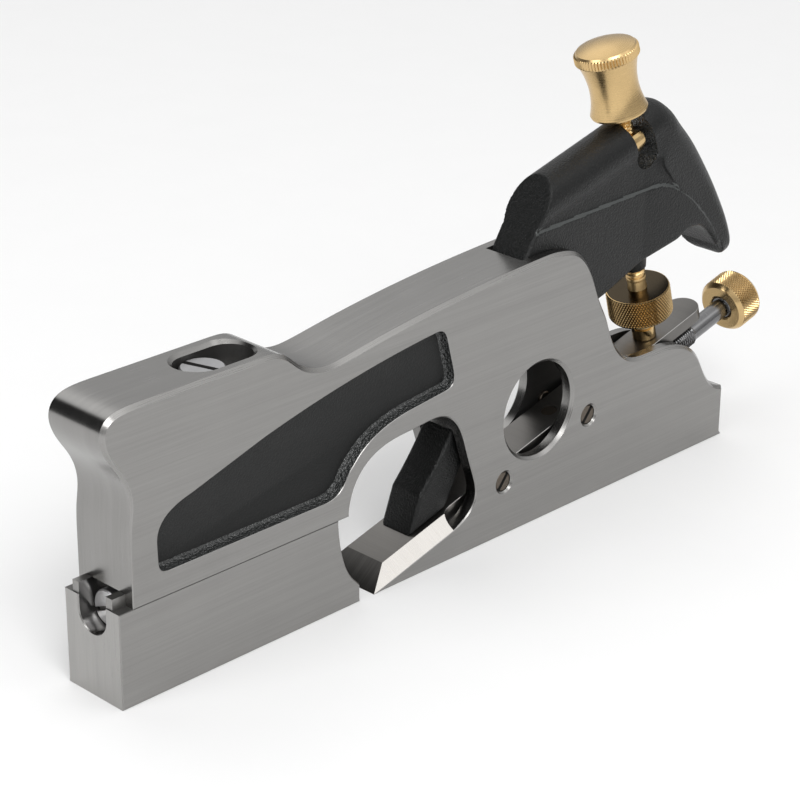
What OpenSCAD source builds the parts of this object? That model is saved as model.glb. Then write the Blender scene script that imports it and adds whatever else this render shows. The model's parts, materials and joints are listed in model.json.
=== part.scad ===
// Shoulder plane, medium size, with a low-angle bevel-up blade.
// Millimetres. +X runs from the toe to the heel, +Y to the far side, +Z up from the sole.
// The origin is the centre of the sole. Inside the modules, x is counted from the toe's front face.

/* [Body] */
// Length of the sole from toe to heel
sole_len = 200; // [196:1:210]
// Width of the sole, the body and the cutting edge
body_w = 17.86; // [17.4:0.1:19.5]
// Width of the channel between the two side walls
channel_w = 11.56; // [11.5:0.02:12]
// Height of the flat top of the front bun above the sole
bun_h = 67.2; // [66:0.5:70]
// Height of the body's back edge above the sole
heel_h = 13.5; // [13:0.25:15]
// Depth of the black recess in each side
recess_d = 2.5; // [1.5:0.1:2.6]
// Radius of the finger hole
finger_r = 11.85; // [11.5:0.05:12.1]
// Height of the finger hole's centre above the sole
finger_z = 28.85; // [28.4:0.1:29.2]

/* [Toe] */
// Length of the toe along the sole
toe_len = 68.6; // [68:0.1:69]
// Height of the toe's shoulders, where the body sits on it
toe_h = 22.35; // [22:0.05:22.6]
// How far the toe stands out in front of the body
toe_proud = 3.8; // [3:0.1:4.2]
// Width of the tongue that slides in the body's groove
tongue_w = 12.9; // [12.5:0.1:13.2]
// How far the toe slides forward from where it stands
toe_forward = 1.5; // [1:0.1:1.8]
// How far the toe slides back, which closes the mouth
toe_back = 4; // [3:0.1:4.2]

/* [Blade] */
// Angle of the bed to the sole
bed_angle = 15; // [14.6:0.1:15.2]
// Distance from the toe's front to the cutting edge
edge_x = 73; // [72.8:0.1:73.6]
// Thickness of the blade
blade_t = 3.175; // [3.1:0.025:3.2]
// Length of the blade along the bed
blade_len = 128.7; // [127:0.5:130]
// Length of the blade's full-width front end
blade_wide_len = 27; // [26:0.5:27.5]
// Width of the blade's shank
shank_w = 9.5; // [9.3:0.05:9.6]
// Angle of the bevel to the blade's flat underside
bevel_angle = 25; // [23:1:30]

/* [Lever cap] */
// Width of the cap's flat web
web_w = 10; // [9.6:0.1:10.2]
// Radius of the round barrel along the cap's top
barrel_r = 6.05; // [5.9:0.05:6.2]
// Height of the cap's underside above the bed, square to the bed
cap_gap = 27; // [26.8:0.1:27.3]
// Width of the slot that the palm knob's stud swings in
stud_slot_w = 6.6; // [6.5:0.1:6.9]

/* [Brass knobs] */
// Radius of the palm knob's knurled rim
palm_r = 7.9; // [7.7:0.05:8.2]
// Height of the palm knob, rim to base
palm_h = 16.7; // [16:0.1:18]
// Lean of the palm knob to the far side as it stands
palm_lean = 5.5; // [4:0.5:9]
// Radius of the clamp wheel
wheel_r = 8.2; // [7.8:0.1:8.4]
// Height of the clamp wheel's knurled rim
wheel_h = 7.9; // [7.5:0.1:8.1]
// Radius of the blade adjuster's knob
feed_knob_r = 7.2; // [6.9:0.05:7.6]
// Length of the blade adjuster's knob
feed_knob_len = 8.6; // [8.2:0.1:9.5]

/* [Screws] */
// Radius of the blade adjuster's rod
rod_r = 2.45; // [2.3:0.05:2.5]
// Radius of the thread on the blade adjuster's rod
thread_r = 2.95; // [2.8:0.05:3]
// Radius of the toe adjusting screw's head
adjust_head_r = 4.1; // [3.8:0.05:4.2]
// Radius of the toe lock screw's head
lock_head_r = 4.95; // [4.7:0.05:5.1]
// Radius of each of the four side set screws
set_r = 2.45; // [2.3:0.05:2.6]

/* [Hidden] */
$fn = 64;

fit = 0.05;      // radial clearance of a turning or sliding fit
seat = 0.01;     // gap under a face that rests on another body
ease = 0.3;      // clearance between faces that pass each other
past = 1;        // how far a cutting tool runs past a face
slot_t = 1;      // width of a screwdriver slot
slot_depth = 1.1; // depth of a screwdriver slot

iron = "silver";
steel = "slategray";
brass_tone = "goldenrod";
black = "dimgray";

// Arc of n + 1 points round c, from angle a to angle b
function arc(c, r, a, b, n = 8) =
  [for (i = [0:n]) let(t = a + (b - a) * i / n) [c[0] + r * cos(t), c[1] + r * sin(t)]];

// Quadratic curve of n + 1 points from p to r, pulled towards q
function bend(p, q, r, n = 6) =
  [for (i = [0:n]) let(t = i / n) (1 - t) * (1 - t) * p + 2 * t * (1 - t) * q + t * t * r];

// Height of the bed at distance x from the toe's front
function bed_z(x) = (x - edge_x) * tan(bed_angle);

// Point s along the bed from the cutting edge and h above it, square to it
function on_bed(s, h = 0) =
  [edge_x + s * cos(bed_angle) - h * sin(bed_angle), s * sin(bed_angle) + h * cos(bed_angle)];

// Puts its children in the bed's frame: x along the bed from the cutting edge, z square to it
module bed_frame(s = 0, h = 0) {
  p = on_bed(s, h);
  translate([p[0], 0, p[1]]) rotate([0, -bed_angle, 0]) children();
}

// Moves the origin from the toe's front face to the centre of the sole
module placed() {
  translate([-sole_len / 2, 0, 0]) children();
}

// Extrudes a side outline, drawn as [x, z], to width w across the plane
module side_plate(outline, w) {
  rotate([90, 0, 0]) linear_extrude(w, center = true) polygon(outline);
}

// Round bar or bore across the plane at [x, z]
module cross_bar(p, r, w) {
  translate([p[0], 0, p[1]]) rotate([90, 0, 0]) cylinder(h = w, r = r, center = true);
}

// Round bar or bore along X from x0 to x1 at height z
module long_bar(x0, x1, z, r) {
  translate([x0, 0, z]) rotate([0, 90, 0]) cylinder(h = x1 - x0, r = r);
}

// Places along the bed, counted from the cutting edge
pin_s = 72;          // blade hole and traveller pin
pivot_s = 96;        // adjuster pivot
clamp_s = 109;       // clamp screw
rod_drop = 5.9;      // rod axis below the bed
thread_s = [pivot_s - 8, pivot_s + 29.4];
knob_s = blade_len + 10.1;  // front face of the adjuster's knob, clear of the blade's tail
rod_end_s = knob_s + 6.7;   // back end of the rod's collar, inside the knob
groove_w = 9;        // width of the adjuster's groove under the blade
groove_d = rod_drop + thread_r + 0.7;
pivot_r = 5.4;
pivot_top = -0.5;    // top of the pivot, just under the blade
pivot_depth = rod_drop + thread_r + 3.1;

// Body

body_front = toe_proud;
heel_x = sole_len;
valley_z = toe_h + 9;
seat_x = toe_len - 3.4;  // back end of the ledge that the toe's tail meets
bed_front = edge_x + 27; // where the throat's edge leaves the bed

// Front cove, nose and flat top of the bun, up to the dip behind it
function bun_outline() = concat(
  [[body_front, toe_h], [body_front, bun_h - 26.2]],
  bend([body_front, bun_h - 26.2], [body_front + 2.6, bun_h - 18.6], [-0.3, bun_h - 11.2]),
  bend([-2.4, bun_h - 7], [-3.6, bun_h - 2.2], [0.2, bun_h - 0.6], 5),
  [[4.3, bun_h]],
  bend([43.4, bun_h], [46.6, bun_h], [48.8, bun_h - 2.4], 4),
  bend([49.9, bun_h - 3.6], [53.4, bun_h - 7.4], [60.2, bun_h - 7.4], 6));

// Long rise behind the bun, back shoulder, valley over the blade and rounded heel
function back_outline() = concat(
  bend([66, bun_h - 6.6], [95, bun_h - 1.6], [132.5, bun_h - 0.2], 10),
  bend([137.9, bun_h - 1], [144.4, bun_h - 2], [148.6, bun_h - 15.4], 6),
  bend([152.6, bun_h - 22.5], [156, valley_z], [166, valley_z], 7),
  [[heel_x - 24, valley_z]],
  bend([heel_x - 19, valley_z - 0.2], [heel_x - 13, valley_z - 1.6], [heel_x - 10, valley_z - 8], 6),
  bend([heel_x - 8, heel_h + 6], [heel_x - 5, heel_h + 0.4], [heel_x, heel_h], 5),
  [[heel_x, 0], [edge_x, 0]]);

// Edge of the throat window, from the bed's front up and round to the toe's ledge
function throat_outline() = concat(
  bend([bed_front, bed_z(bed_front)], [bed_front + 7, bed_z(bed_front) + 3], [106.8, 14.5], 5),
  bend([105.6, 18.6], [103.6, 24], [103, 26], 2),
  bend([102.2, 28.8], [99.6, 37.7], [92.3, 37.7], 6),
  bend([86, 37], [66, 37.4], [seat_x, toe_h], 10));

module body_blank() {
  side_plate(concat(bun_outline(), back_outline(), throat_outline()), body_w);
}

// Channel between the walls: from the throat up through the top slot, and open behind
slot_front = 124;     // front end of the slot in the top
cap_slope = 57.8;     // slope of the cap's straight front
channel_front = [101, 30.5];
function channel_outline() = concat(
  [[bed_front, bed_z(bed_front)], on_bed(blade_len + 20, 0), [sole_len + 20, bun_h + 20],
   [slot_front + 12, bun_h + 20], [slot_front, bun_h - 0.4]],
  [channel_front, [channel_front[0] - 9, channel_front[1] - 8]]);

// Fulcrum rib of the body that the lever cap hooks under
rib_r = 3;
rib = [113.2, 49.9];
module fulcrum_rib() {
  cross_bar(rib, rib_r, channel_w + 0.2);
  translate([rib[0], 0, rib[1]]) rotate([0, -90 - cap_slope, 0])
    translate([0, -channel_w / 2 - 0.1, -rib_r + 0.1]) cube([5, channel_w + 0.2, 2 * rib_r - 0.2]);
}

function recess_outline() = concat(
  arc([12.9, 29.9], 2, 270, 180, 4),
  bend([10.7, 36], [11.4, 41.4], [20, 43.2]),
  bend([40, 49.2], [66, 56], [92, 58.4], 8),
  bend([92.8, 58.5], [95.6, 58.6], [96.1, 55.6], 4),
  bend([98.3, 47.4], [99.1, 44.2], [96.4, 43.5], 4),
  bend([86, 42.4], [73, 41.2], [67.3, 35.1], 7),
  bend([65.2, 32.9], [63, 28], [58.4, 27.9], 5));

module side_recess() {
  side_plate(recess_outline(), recess_d * 2);
}

// Recess in the bun's top for the toe lock screw
lock_x = 31.6;         // centre of the lock screw as it stands
recess_top = 1.7;      // depth of the screw head's top below the bun
head_h = 3.4;
bun_slot = [lock_x - toe_forward + 0.25, lock_x + toe_back + 3.2];
lock_shank_r = 2.9;

// Bore along Z, drawn out along the bun so that the lock screw can travel with the toe
module long_hole(z, h, r) {
  for (x = bun_slot) translate([x, 0, z]) cylinder(h = h, r = r);
  translate([bun_slot[0], -r, z]) cube([bun_slot[1] - bun_slot[0], 2 * r, h]);
}

module bun_recess() {
  long_hole(bun_h - recess_top - head_h, 2 * head_h, lock_head_r + 0.45);
  long_hole(toe_h, bun_h - toe_h, lock_shank_r + 0.35);
}

// Screw lug that hangs from the body into the toe's pocket
lug = [17, 25];
lug_w = 8.6;
lug_z = 13.6;
screw_z = 19.3;        // height of the toe adjusting screw
screw_thread_r = 2.4;

tongue_top = toe_h + 2.65;
module tongue_groove() {
  translate([-past, -tongue_w / 2 - fit, toe_h - past])
    cube([seat_x + past - 3, tongue_w + 2 * fit, tongue_top + fit - toe_h + past]);
}

set_front = [116.2, bed_z(116.2) + 2.2];
set_rear = [146.2, bed_z(146.2) + 2.2];
set_tip_r = 1.9;       // dog point, which clears the bed
set_lip = 0.25;        // wall left between the thread and the channel
set_gap = 0.35;        // from a set screw's tip to the blade's shank
set_sink = 0.4;        // depth of the countersink

module set_holes() {
  for (p = [set_front, set_rear])
    for (side = [-1, 1])
      translate([p[0], side * body_w / 2, p[1]]) rotate([side * 90, 0, 0]) {
        cylinder(h = (body_w - channel_w) / 2 + past, r = set_tip_r + fit);
        cylinder(h = (body_w - channel_w) / 2 - set_lip, r = set_r + fit);
        translate([0, 0, -past]) cylinder(h = past + set_sink, r = set_r + 0.5);
      }
}

finger_x = 128;        // centre of the finger hole
finger_rim = 0.8;      // chamfer round each end of the finger hole
module finger_hole() {
  cross_bar([finger_x, finger_z], finger_r, body_w + 2 * past);
  for (side = [-1, 1])
    translate([finger_x, side * (body_w / 2 + past), finger_z]) rotate([side * 90, 0, 0])
      cylinder(h = finger_rim + past, r1 = finger_r + finger_rim + past, r2 = finger_r);
}

module body() {
  color(iron) placed() {
    difference() {
      union() {
        difference() {
          body_blank();
          side_plate(channel_outline(), channel_w);
        }
        fulcrum_rib();
      }
      for (side = [-1, 1]) translate([0, side * body_w / 2, 0]) side_recess();
      bun_recess();
      tongue_groove();
      finger_hole();
      set_holes();
      bed_frame(pin_s - 12, -groove_d) translate([0, -groove_w / 2, 0])
        cube([blade_len, groove_w, groove_d + past]);
      bed_frame(pivot_s, -pivot_depth) cylinder(h = pivot_depth + past, r = pivot_r + fit);
    }
    difference() {
      translate([lug[0], -lug_w / 2, lug_z]) cube([lug[1] - lug[0], lug_w, tongue_top + 2 - lug_z]);
      long_bar(lug[0] - past, lug[1] + past, screw_z, screw_thread_r + fit);
    }
  }
}

// Toe

neck_x = [6.4, 8.4];   // the wall that the adjusting screw's head and collar grip
collar_x = 10.4;       // back of the collar behind that wall
lock_foot = 8;         // height of the lock screw's lower end
pocket = [lug[0] - toe_back - ease - 0.2, lug[1] + toe_forward + ease + 0.2];
neck_r = 2.75;         // half width of the slot in that wall

function toe_outline() = concat(
  [[0, 0], [0, toe_h], [seat_x - 3.2, toe_h]],
  bend([seat_x - 2.9, 18.2], [seat_x - 1.6, 8.4], [toe_len - 1.3, 5.4], 6),
  [[toe_len, 4.2], [toe_len, 0]]);

module toe() {
  color(iron) placed() difference() {
    union() {
      side_plate(toe_outline(), body_w);
      translate([0, -tongue_w / 2, toe_h - past])
        cube([seat_x - toe_back - 4, tongue_w, tongue_top - toe_h + past]);
    }
    // open-topped slot for the screw's head, and the narrow neck behind it
    for (part = [[-past, neck_x[0], adjust_head_r + ease], [neck_x[0] - past, neck_x[1] + past, neck_r],
                 [neck_x[1], pocket[0] + past, adjust_head_r + ease]]) {
      long_bar(part[0], part[1], screw_z, part[2]);
      translate([part[0], -part[2], screw_z]) cube([part[1] - part[0], 2 * part[2], tongue_top]);
    }
    // pocket for the body's screw lug
    translate([pocket[0], -lug_w / 2 - ease, lug_z - ease])
      cube([pocket[1] - pocket[0], lug_w + 2 * ease, tongue_top]);
    long_bar(pocket[1] - past, pocket[1] + 1.5, screw_z, screw_thread_r + ease);
    // hole for the lock screw
    translate([lock_x, 0, lock_foot - 2]) cylinder(h = tongue_top, r = lock_shank_r);
  }
}

// Slotted screws

// Screwdriver slot across a head of radius r whose face is the plane z = 0
module driver_slot(r, turn, w = slot_t) {
  rotate([0, 0, turn]) translate([-r - past, -w / 2, -slot_depth])
    cube([2 * (r + past), w, slot_depth + past]);
}

module toe_lock_screw() {
  top = bun_h - recess_top;
  color(steel) placed() translate([lock_x, 0, 0]) difference() {
    union() {
      translate([0, 0, top - head_h]) cylinder(h = head_h, r = lock_head_r);
      translate([0, 0, lock_foot]) cylinder(h = top - lock_foot - 1, r = lock_shank_r - fit);
    }
    translate([0, 0, top]) driver_slot(lock_head_r, 107, 1.4);
  }
}

module toe_adjust_screw() {
  color(steel) placed() difference() {
    union() {
      long_bar(toe_proud, neck_x[0] - 0.02, screw_z, adjust_head_r);
      long_bar(neck_x[0] - past, collar_x, screw_z, screw_thread_r);
      long_bar(neck_x[1] + 0.02, collar_x, screw_z, adjust_head_r - 0.4);
      long_bar(collar_x - past, lug[1] + 2, screw_z, screw_thread_r);
    }
    translate([toe_proud, 0, screw_z]) rotate([0, -90, 0]) driver_slot(adjust_head_r, 35);
  }
}

// Set screw from the near side: tip towards the blade's shank
module set_screw(p, side) {
  tip = shank_w / 2 + set_gap;
  head = body_w / 2 - 0.5;
  set_thread = head - channel_w / 2 - set_lip - ease - 0.05;
  color(steel) placed() translate([p[0], side * head, p[1]]) rotate([side * -90, 0, 0]) difference() {
    union() {
      translate([0, 0, -set_thread]) cylinder(h = set_thread, r = set_r);
      translate([0, 0, -(head - tip)]) cylinder(h = head - tip, r = set_tip_r);
    }
    driver_slot(set_r, 50);
  }
}

// Blade

relief_reach = 9;      // how far the tools that cut the bevel and the reliefs reach

// Plan of the full-width front end and the narrower shank with its round back
function blade_plan() = concat(
  [[0, -body_w / 2]],
  bend([blade_wide_len, -body_w / 2], [blade_wide_len - 0.5, -shank_w / 2],
    [blade_wide_len + 4.5, -shank_w / 2], 5),
  arc([blade_len - shank_w / 2 - 0.6, 0], shank_w / 2, -90, 90, 16),
  bend([blade_wide_len + 4.5, shank_w / 2], [blade_wide_len - 0.5, shank_w / 2],
    [blade_wide_len, body_w / 2], 5),
  [[0, body_w / 2]]);

traveller_pin_r = 2;
module blade() {
  color(iron) placed() bed_frame(0, seat) difference() {
    linear_extrude(blade_t) polygon(blade_plan());
    // bevel up to the cutting edge
    rotate([0, -bevel_angle, 0]) translate([-relief_reach, -body_w, 0])
      cube([30, 2 * body_w, relief_reach]);
    // relief of the two long edges, so that they clear the corner of a rebate
    for (side = [-1, 1])
      translate([-past, side * body_w / 2, 0]) rotate([side * 45, 0, 0])
        translate([0, side < 0 ? -relief_reach : 0, 0])
          cube([blade_wide_len, relief_reach, relief_reach]);
    translate([pin_s, 0, -past]) cylinder(h = blade_t + 2 * past, r = traveller_pin_r + fit);
  }
}

// Blade adjuster

// Round bar along the bed's direction on the rod's axis, from s0 to s1
module rod_bar(s0, s1, r) {
  bed_frame(s0, -rod_drop) rotate([0, 90, 0]) cylinder(h = s1 - s0, r = r);
}

module adjuster_pivot() {
  color(steel) placed() difference() {
    bed_frame(pivot_s, -pivot_depth + 0.1)
      cylinder(h = pivot_depth - 0.1 + pivot_top, r = pivot_r);
    rod_bar(pivot_s - 9, pivot_s + 9, thread_r + fit);
  }
}

clip_s = pin_s - 5.2;
module adjuster_rod() {
  color(steel) placed() difference() {
    union() {
      rod_bar(clip_s - 1, pin_s + 4.6, rod_r - 0.6);
      rod_bar(pin_s + 4.5, knob_s + 1, rod_r);
      rod_bar(thread_s[0] + 1, thread_s[1], thread_r);
      rod_bar(knob_s + 0.6, rod_end_s, rod_r + 0.75);
    }
    // groove that the clip sits in
    difference() {
      rod_bar(clip_s, clip_s + 0.8, rod_r);
      rod_bar(clip_s - past, clip_s + 2, rod_r - 1);
    }
  }
}

module traveller_clip() {
  color(steel) placed() difference() {
    rod_bar(clip_s + 0.1, clip_s + 0.7, rod_r + 0.4);
    rod_bar(clip_s - past, clip_s + 2, rod_r - 1);
    bed_frame(clip_s, -rod_drop) translate([-past, -0.6, 0]) cube([3, 1.2, 4]);
  }
}

traveller_w = groove_w - 2.4;
module adjuster_traveller() {
  color(steel) placed() {
    difference() {
      union() {
        bed_frame(pin_s - 4.4, -rod_drop - 2.6) translate([0, -traveller_w / 2, 0])
          cube([8.8, traveller_w, rod_drop + 2.6 - ease]);
        bed_frame(pin_s, -2) cylinder(h = 2 + blade_t - 0.2, r = traveller_pin_r);
      }
      rod_bar(pin_s - 6, pin_s + 6, rod_r - 0.6 + fit);
    }
  }
}

module adjuster_knob() {
  chamfer = 1.2;
  bore = rod_r + 0.75 + fit;
  r = feed_knob_r;
  len = feed_knob_len;
  color(brass_tone) placed() bed_frame(knob_s, -rod_drop) rotate([0, 90, 0]) rotate_extrude()
    polygon([[bore, 0], [r - chamfer, 0], [r, chamfer], [r, len - chamfer], [r - chamfer, len],
             [0, len], [0, rod_end_s - knob_s], [bore, rod_end_s - knob_s]]);
}

// Lever cap

blade_top = blade_t + 2 * seat;  // where a part that presses on the blade ends
nose = on_bed(17, blade_top);
cap_front = [102.7, 30.3];    // lower end of the cap's straight front
cap_rise = 42.2;              // height of the straight front
cap_shoulder = [cap_front[0] + cap_rise / tan(cap_slope), cap_front[1] + cap_rise];
barrel_at = [158.2, 83.05];   // a point on the barrel's axis
function on_barrel(x) = [x, barrel_at[1] + (x - barrel_at[0]) * tan(bed_angle)];
under_s = [42, 124];          // the straight part of the cap's underside
barrel_x = [126, 171.5];
web_top_x = 135;              // front end of the web's top edge, inside the barrel

function web_outline() = concat(
  [nose],
  bend([nose[0] + 3.5, nose[1] + 9.4], [nose[0] + 9, nose[1] + 15], cap_front, 5),
  [cap_shoulder, on_barrel(web_top_x), on_barrel(barrel_x[1])],
  bend([176, 87], [185, 81], [194, 64], 6),
  bend([196, 60], [195.6, 58], [190.5, 58], 3),
  [on_bed(under_s[1], cap_gap), on_bed(clamp_s - 2.4, cap_gap + 1.4), on_bed(clamp_s - 17.5, cap_gap)],
  bend(on_bed(under_s[0] + 14, cap_gap), on_bed(under_s[0], cap_gap), [112, 31], 6),
  [on_bed(29.5, blade_t + ease)]);

// Tail horn: sections [x, z, slope, half height, half width] from the barrel down to the lip
tail = [[168, 85.67, 15, 5.8, 5.8], [173, 87.5, -4, 6.7, 6.1], [176.6, 86.3, -26, 5.7, 6.3],
        [179.4, 82.9, -42, 5.6, 6.4], [184.8, 76.6, -47, 6.1, 6.6], [192, 67.4, -56, 5, 6.8],
        [197.6, 58.4, -63, 4.3, 7.2], [200.6, 52.6, -68, 3.4, 7.1], [201.7, 49.9, -74, 2.4, 5.8],
        [202.2, 48.4, -78, 1.2, 3.4]];
tail_sides = 20;
function tail_ring(t) = [for (i = [0:tail_sides - 1]) let(a = 360 * i / tail_sides,
    u = t[3] * sin(a)) [t[0] - u * sin(t[2]), t[4] * cos(a), t[1] + u * cos(t[2])]];

module tail_horn() {
  rings = len(tail);
  points = [for (t = tail) each tail_ring(t)];
  walls = [for (r = [0:rings - 2]) for (i = [0:tail_sides - 1]) let(j = (i + 1) % tail_sides,
      a = r * tail_sides) each [[a + i, a + tail_sides + j, a + j],
                                [a + i, a + tail_sides + i, a + tail_sides + j]]];
  ends = concat([for (i = [1:tail_sides - 2]) [0, i, i + 1]],
    [for (i = [1:tail_sides - 2]) let(a = (rings - 1) * tail_sides) [a, a + i + 1, a + i]]);
  polyhedron(points, concat(walls, ends));
}

stud_x = 166.4;
stud_at = on_barrel(stud_x);
slot_floor = 4;          // axis of the slot's round floor below the barrel's axis
slot_shift = 0.65;       // middle of the slot behind the palm knob's axis
slot_turn = 5;           // how far the slot's foot turns back
clamp_thread_r = 2.5;
boss_drop = 3.4;         // how far the clamp screw's boss hangs below the web
boss_r = 3.4;
swing_pin_r = 1.5;
swing_pin_len = 12;

// Puts its children on the barrel's axis where the palm knob pivots, z square to the barrel
module knob_frame(lean = 0) {
  translate([stud_at[0], 0, stud_at[1]]) rotate([0, -bed_angle, 0]) rotate([-lean, 0, 0]) children();
}

module lever_cap() {
  color(black) placed() difference() {
    union() {
      side_plate(web_outline(), web_w);
      translate([on_barrel(barrel_x[0])[0], 0, on_barrel(barrel_x[0])[1]])
        rotate([0, 90 - bed_angle, 0]) cylinder(h = (barrel_x[1] - barrel_x[0]) / cos(bed_angle),
          r = barrel_r);
      tail_horn();
      bed_frame(clamp_s, cap_gap - boss_drop) cylinder(h = boss_drop + 4, r = boss_r);
    }
    // front end of the barrel, cut just in front of the web's straight front
    translate([cap_front[0], 0, cap_front[1]]) rotate([0, 90 - cap_slope, 0])
      translate([-20 - fit, -body_w / 2, 30]) cube([20, body_w, 50]);
    // seat that hooks under the body's fulcrum rib
    cross_bar(rib, rib_r + 0.1, web_w + past);
    // screw hole for the clamp wheel
    bed_frame(clamp_s, cap_gap - boss_drop - past) cylinder(h = boss_drop + 17, r = clamp_thread_r + fit);
    // slot for the palm knob's stud, and the hole for its pivot pin
    knob_frame() {
      rotate([0, -slot_turn, 0]) translate([slot_shift, 0, -slot_floor]) {
        translate([-stud_slot_w / 2, -barrel_r - past, 0])
          cube([stud_slot_w, 2 * (barrel_r + past), slot_floor + barrel_r + 3]);
        rotate([90, 0, 0]) cylinder(h = 2 * (barrel_r + past), r = stud_slot_w / 2, center = true);
      }
      translate([-swing_pin_len / 2 - 0.2, 0, 0]) rotate([0, 90, 0])
        cylinder(h = swing_pin_len + 0.4, r = swing_pin_r + 0.02);
    }
  }
}

// Clamp screw

foot_r = 3;
wheel_base = blade_t + 6.8;   // bottom of the wheel above the bed
foot_top = blade_t + 3.4;     // top of the foot above the bed
dish_d = 3;                   // depth of the wheel's dished top
module clamp_wheel() {
  screw_len = cap_gap + 10 - wheel_base;
  dish_floor = wheel_h - dish_d;
  color(brass_tone) placed() {
    bed_frame(clamp_s, foot_top + 0.05) {
      cylinder(h = wheel_base - foot_top, r = foot_r);
      translate([0, 0, -2.2]) cylinder(h = 3, r = foot_r - 1.4);
    }
    bed_frame(clamp_s, wheel_base) rotate_extrude()
      polygon([[0, 0], [wheel_r - 0.6, 0], [wheel_r, 0.8], [wheel_r, wheel_h], [wheel_r - 0.5, wheel_h],
               [clamp_thread_r + 1.2, dish_floor], [clamp_thread_r, dish_floor + 1.2],
               [clamp_thread_r, screw_len], [0, screw_len]]);
  }
}

module clamp_foot() {
  color(brass_tone) placed() difference() {
    bed_frame(clamp_s, blade_top) cylinder(h = foot_top - blade_top, r = foot_r);
    bed_frame(clamp_s, foot_top - 2.4) cylinder(h = 4, r = foot_r - 1.4 + fit);
  }
}

// Palm knob

base_h = barrel_r + 1.2;  // height of the knob's base over the barrel's axis
rim_h = 2.4;
waist_r = 6.1;
base_r = 7.05;
stud_r = 2.5;             // threaded part of the stud
eye_r = 4.4;              // rounded eye below it
eye_top = 1.6;            // flat top of the eye above the barrel's axis
eye_w = 4.2;              // thickness of the eye
stud_top = base_h + 10;

function palm_profile() = concat(
  [[0, base_h], [base_r - 0.4, base_h], [base_r, base_h + 0.6]],
  bend([base_r, base_h + 0.6], [waist_r - 1.4, base_h + palm_h * 0.44],
    [palm_r - 0.5, base_h + palm_h - rim_h], 10),
  [[palm_r, base_h + palm_h - rim_h], [palm_r, base_h + palm_h - 0.4],
   [palm_r - 0.4, base_h + palm_h]],
  arc([0, base_h + palm_h + 1.8 - 19], 19, 68, 90, 6));

module palm_knob() {
  color(brass_tone) placed() knob_frame(palm_lean) difference() {
    rotate_extrude() polygon(palm_profile());
    translate([0, 0, base_h - past]) cylinder(h = stud_top + 0.6 - base_h + past, r = stud_r + fit);
  }
}

module palm_stud() {
  color(brass_tone) placed() knob_frame(palm_lean) difference() {
    union() {
      translate([0, 0, eye_top - 0.5]) cylinder(h = stud_top - eye_top + 0.5, r = stud_r);
      intersection() {
        rotate([0, 90, 0]) cylinder(h = eye_w, r = eye_r, center = true);
        translate([-eye_w, -2 * eye_r, -2 * eye_r]) cube([2 * eye_w, 4 * eye_r, 2 * eye_r + eye_top]);
      }
    }
    rotate([0, 90, 0]) cylinder(h = 2 * eye_w, r = swing_pin_r + fit, center = true);
  }
}

module stud_pivot_pin() {
  color(steel) placed() knob_frame()
    translate([-swing_pin_len / 2, 0, 0]) rotate([0, 90, 0]) cylinder(h = swing_pin_len, r = swing_pin_r);
}

body();
toe();
toe_lock_screw();
toe_adjust_screw();
blade();
adjuster_pivot();
adjuster_rod();
adjuster_knob();
adjuster_traveller();
traveller_clip();
lever_cap();
clamp_wheel();
clamp_foot();
palm_knob();
palm_stud();
stud_pivot_pin();
set_screw(set_front, -1);  // set_screw_front_near
set_screw(set_front, 1);  // set_screw_front_far
set_screw(set_rear, -1);  // set_screw_rear_near
set_screw(set_rear, 1);  // set_screw_rear_far
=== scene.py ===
"""Dresses a medium shoulder plane: its shapes, finishes, lights and camera.

Shapes are drawn in millimetres of the plane's own coordinates: x runs from the toe's front face to the
heel, y to the far side and z up from the sole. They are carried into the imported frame, which is in metres
with its origin at the centre of the sole, as the last thing before a piece rides on its body.
"""

from __future__ import annotations

import json
import logging
import math
from collections.abc import Callable, Sequence
from dataclasses import dataclass
from enum import Enum

import bmesh
import bpy
from mathutils import Matrix, Vector
from mathutils.kdtree import KDTree

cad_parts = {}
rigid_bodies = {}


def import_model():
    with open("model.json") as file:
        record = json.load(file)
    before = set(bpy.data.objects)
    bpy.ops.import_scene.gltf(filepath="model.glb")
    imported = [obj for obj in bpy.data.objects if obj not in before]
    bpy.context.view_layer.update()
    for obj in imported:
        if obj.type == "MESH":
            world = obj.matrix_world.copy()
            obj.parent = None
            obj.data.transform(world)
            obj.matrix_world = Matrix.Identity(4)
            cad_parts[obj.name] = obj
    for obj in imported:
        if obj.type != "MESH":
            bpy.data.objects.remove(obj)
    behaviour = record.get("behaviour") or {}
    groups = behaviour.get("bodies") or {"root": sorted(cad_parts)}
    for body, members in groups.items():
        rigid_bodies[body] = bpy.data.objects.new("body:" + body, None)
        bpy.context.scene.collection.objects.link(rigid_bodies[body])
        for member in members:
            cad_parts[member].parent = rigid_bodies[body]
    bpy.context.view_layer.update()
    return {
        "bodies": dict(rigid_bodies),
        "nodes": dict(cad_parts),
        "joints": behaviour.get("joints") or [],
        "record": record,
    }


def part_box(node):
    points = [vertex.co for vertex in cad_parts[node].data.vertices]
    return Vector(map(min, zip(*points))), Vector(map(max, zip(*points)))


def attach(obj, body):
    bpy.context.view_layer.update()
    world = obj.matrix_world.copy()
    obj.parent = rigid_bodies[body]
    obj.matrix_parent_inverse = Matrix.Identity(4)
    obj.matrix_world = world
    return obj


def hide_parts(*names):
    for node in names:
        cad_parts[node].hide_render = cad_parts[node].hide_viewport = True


LOG = logging.getLogger("shoulder_plane")

MM = 0.001
SMOOTH_DEGREES = 32.0
# How far a face's normal turns sideways: on a side face, and on the chamfer round it
SIDE_FACING = 0.93
CHAMFER_FACING = 0.3
# The Mix node's sockets where it mixes colours
MIX_LOW, MIX_HIGH, MIX_COLOUR = 6, 7, 2
WHITE = (1.0, 1.0, 1.0, 1.0)

Point = tuple[float, float]
Ring = list[Vector]


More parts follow.
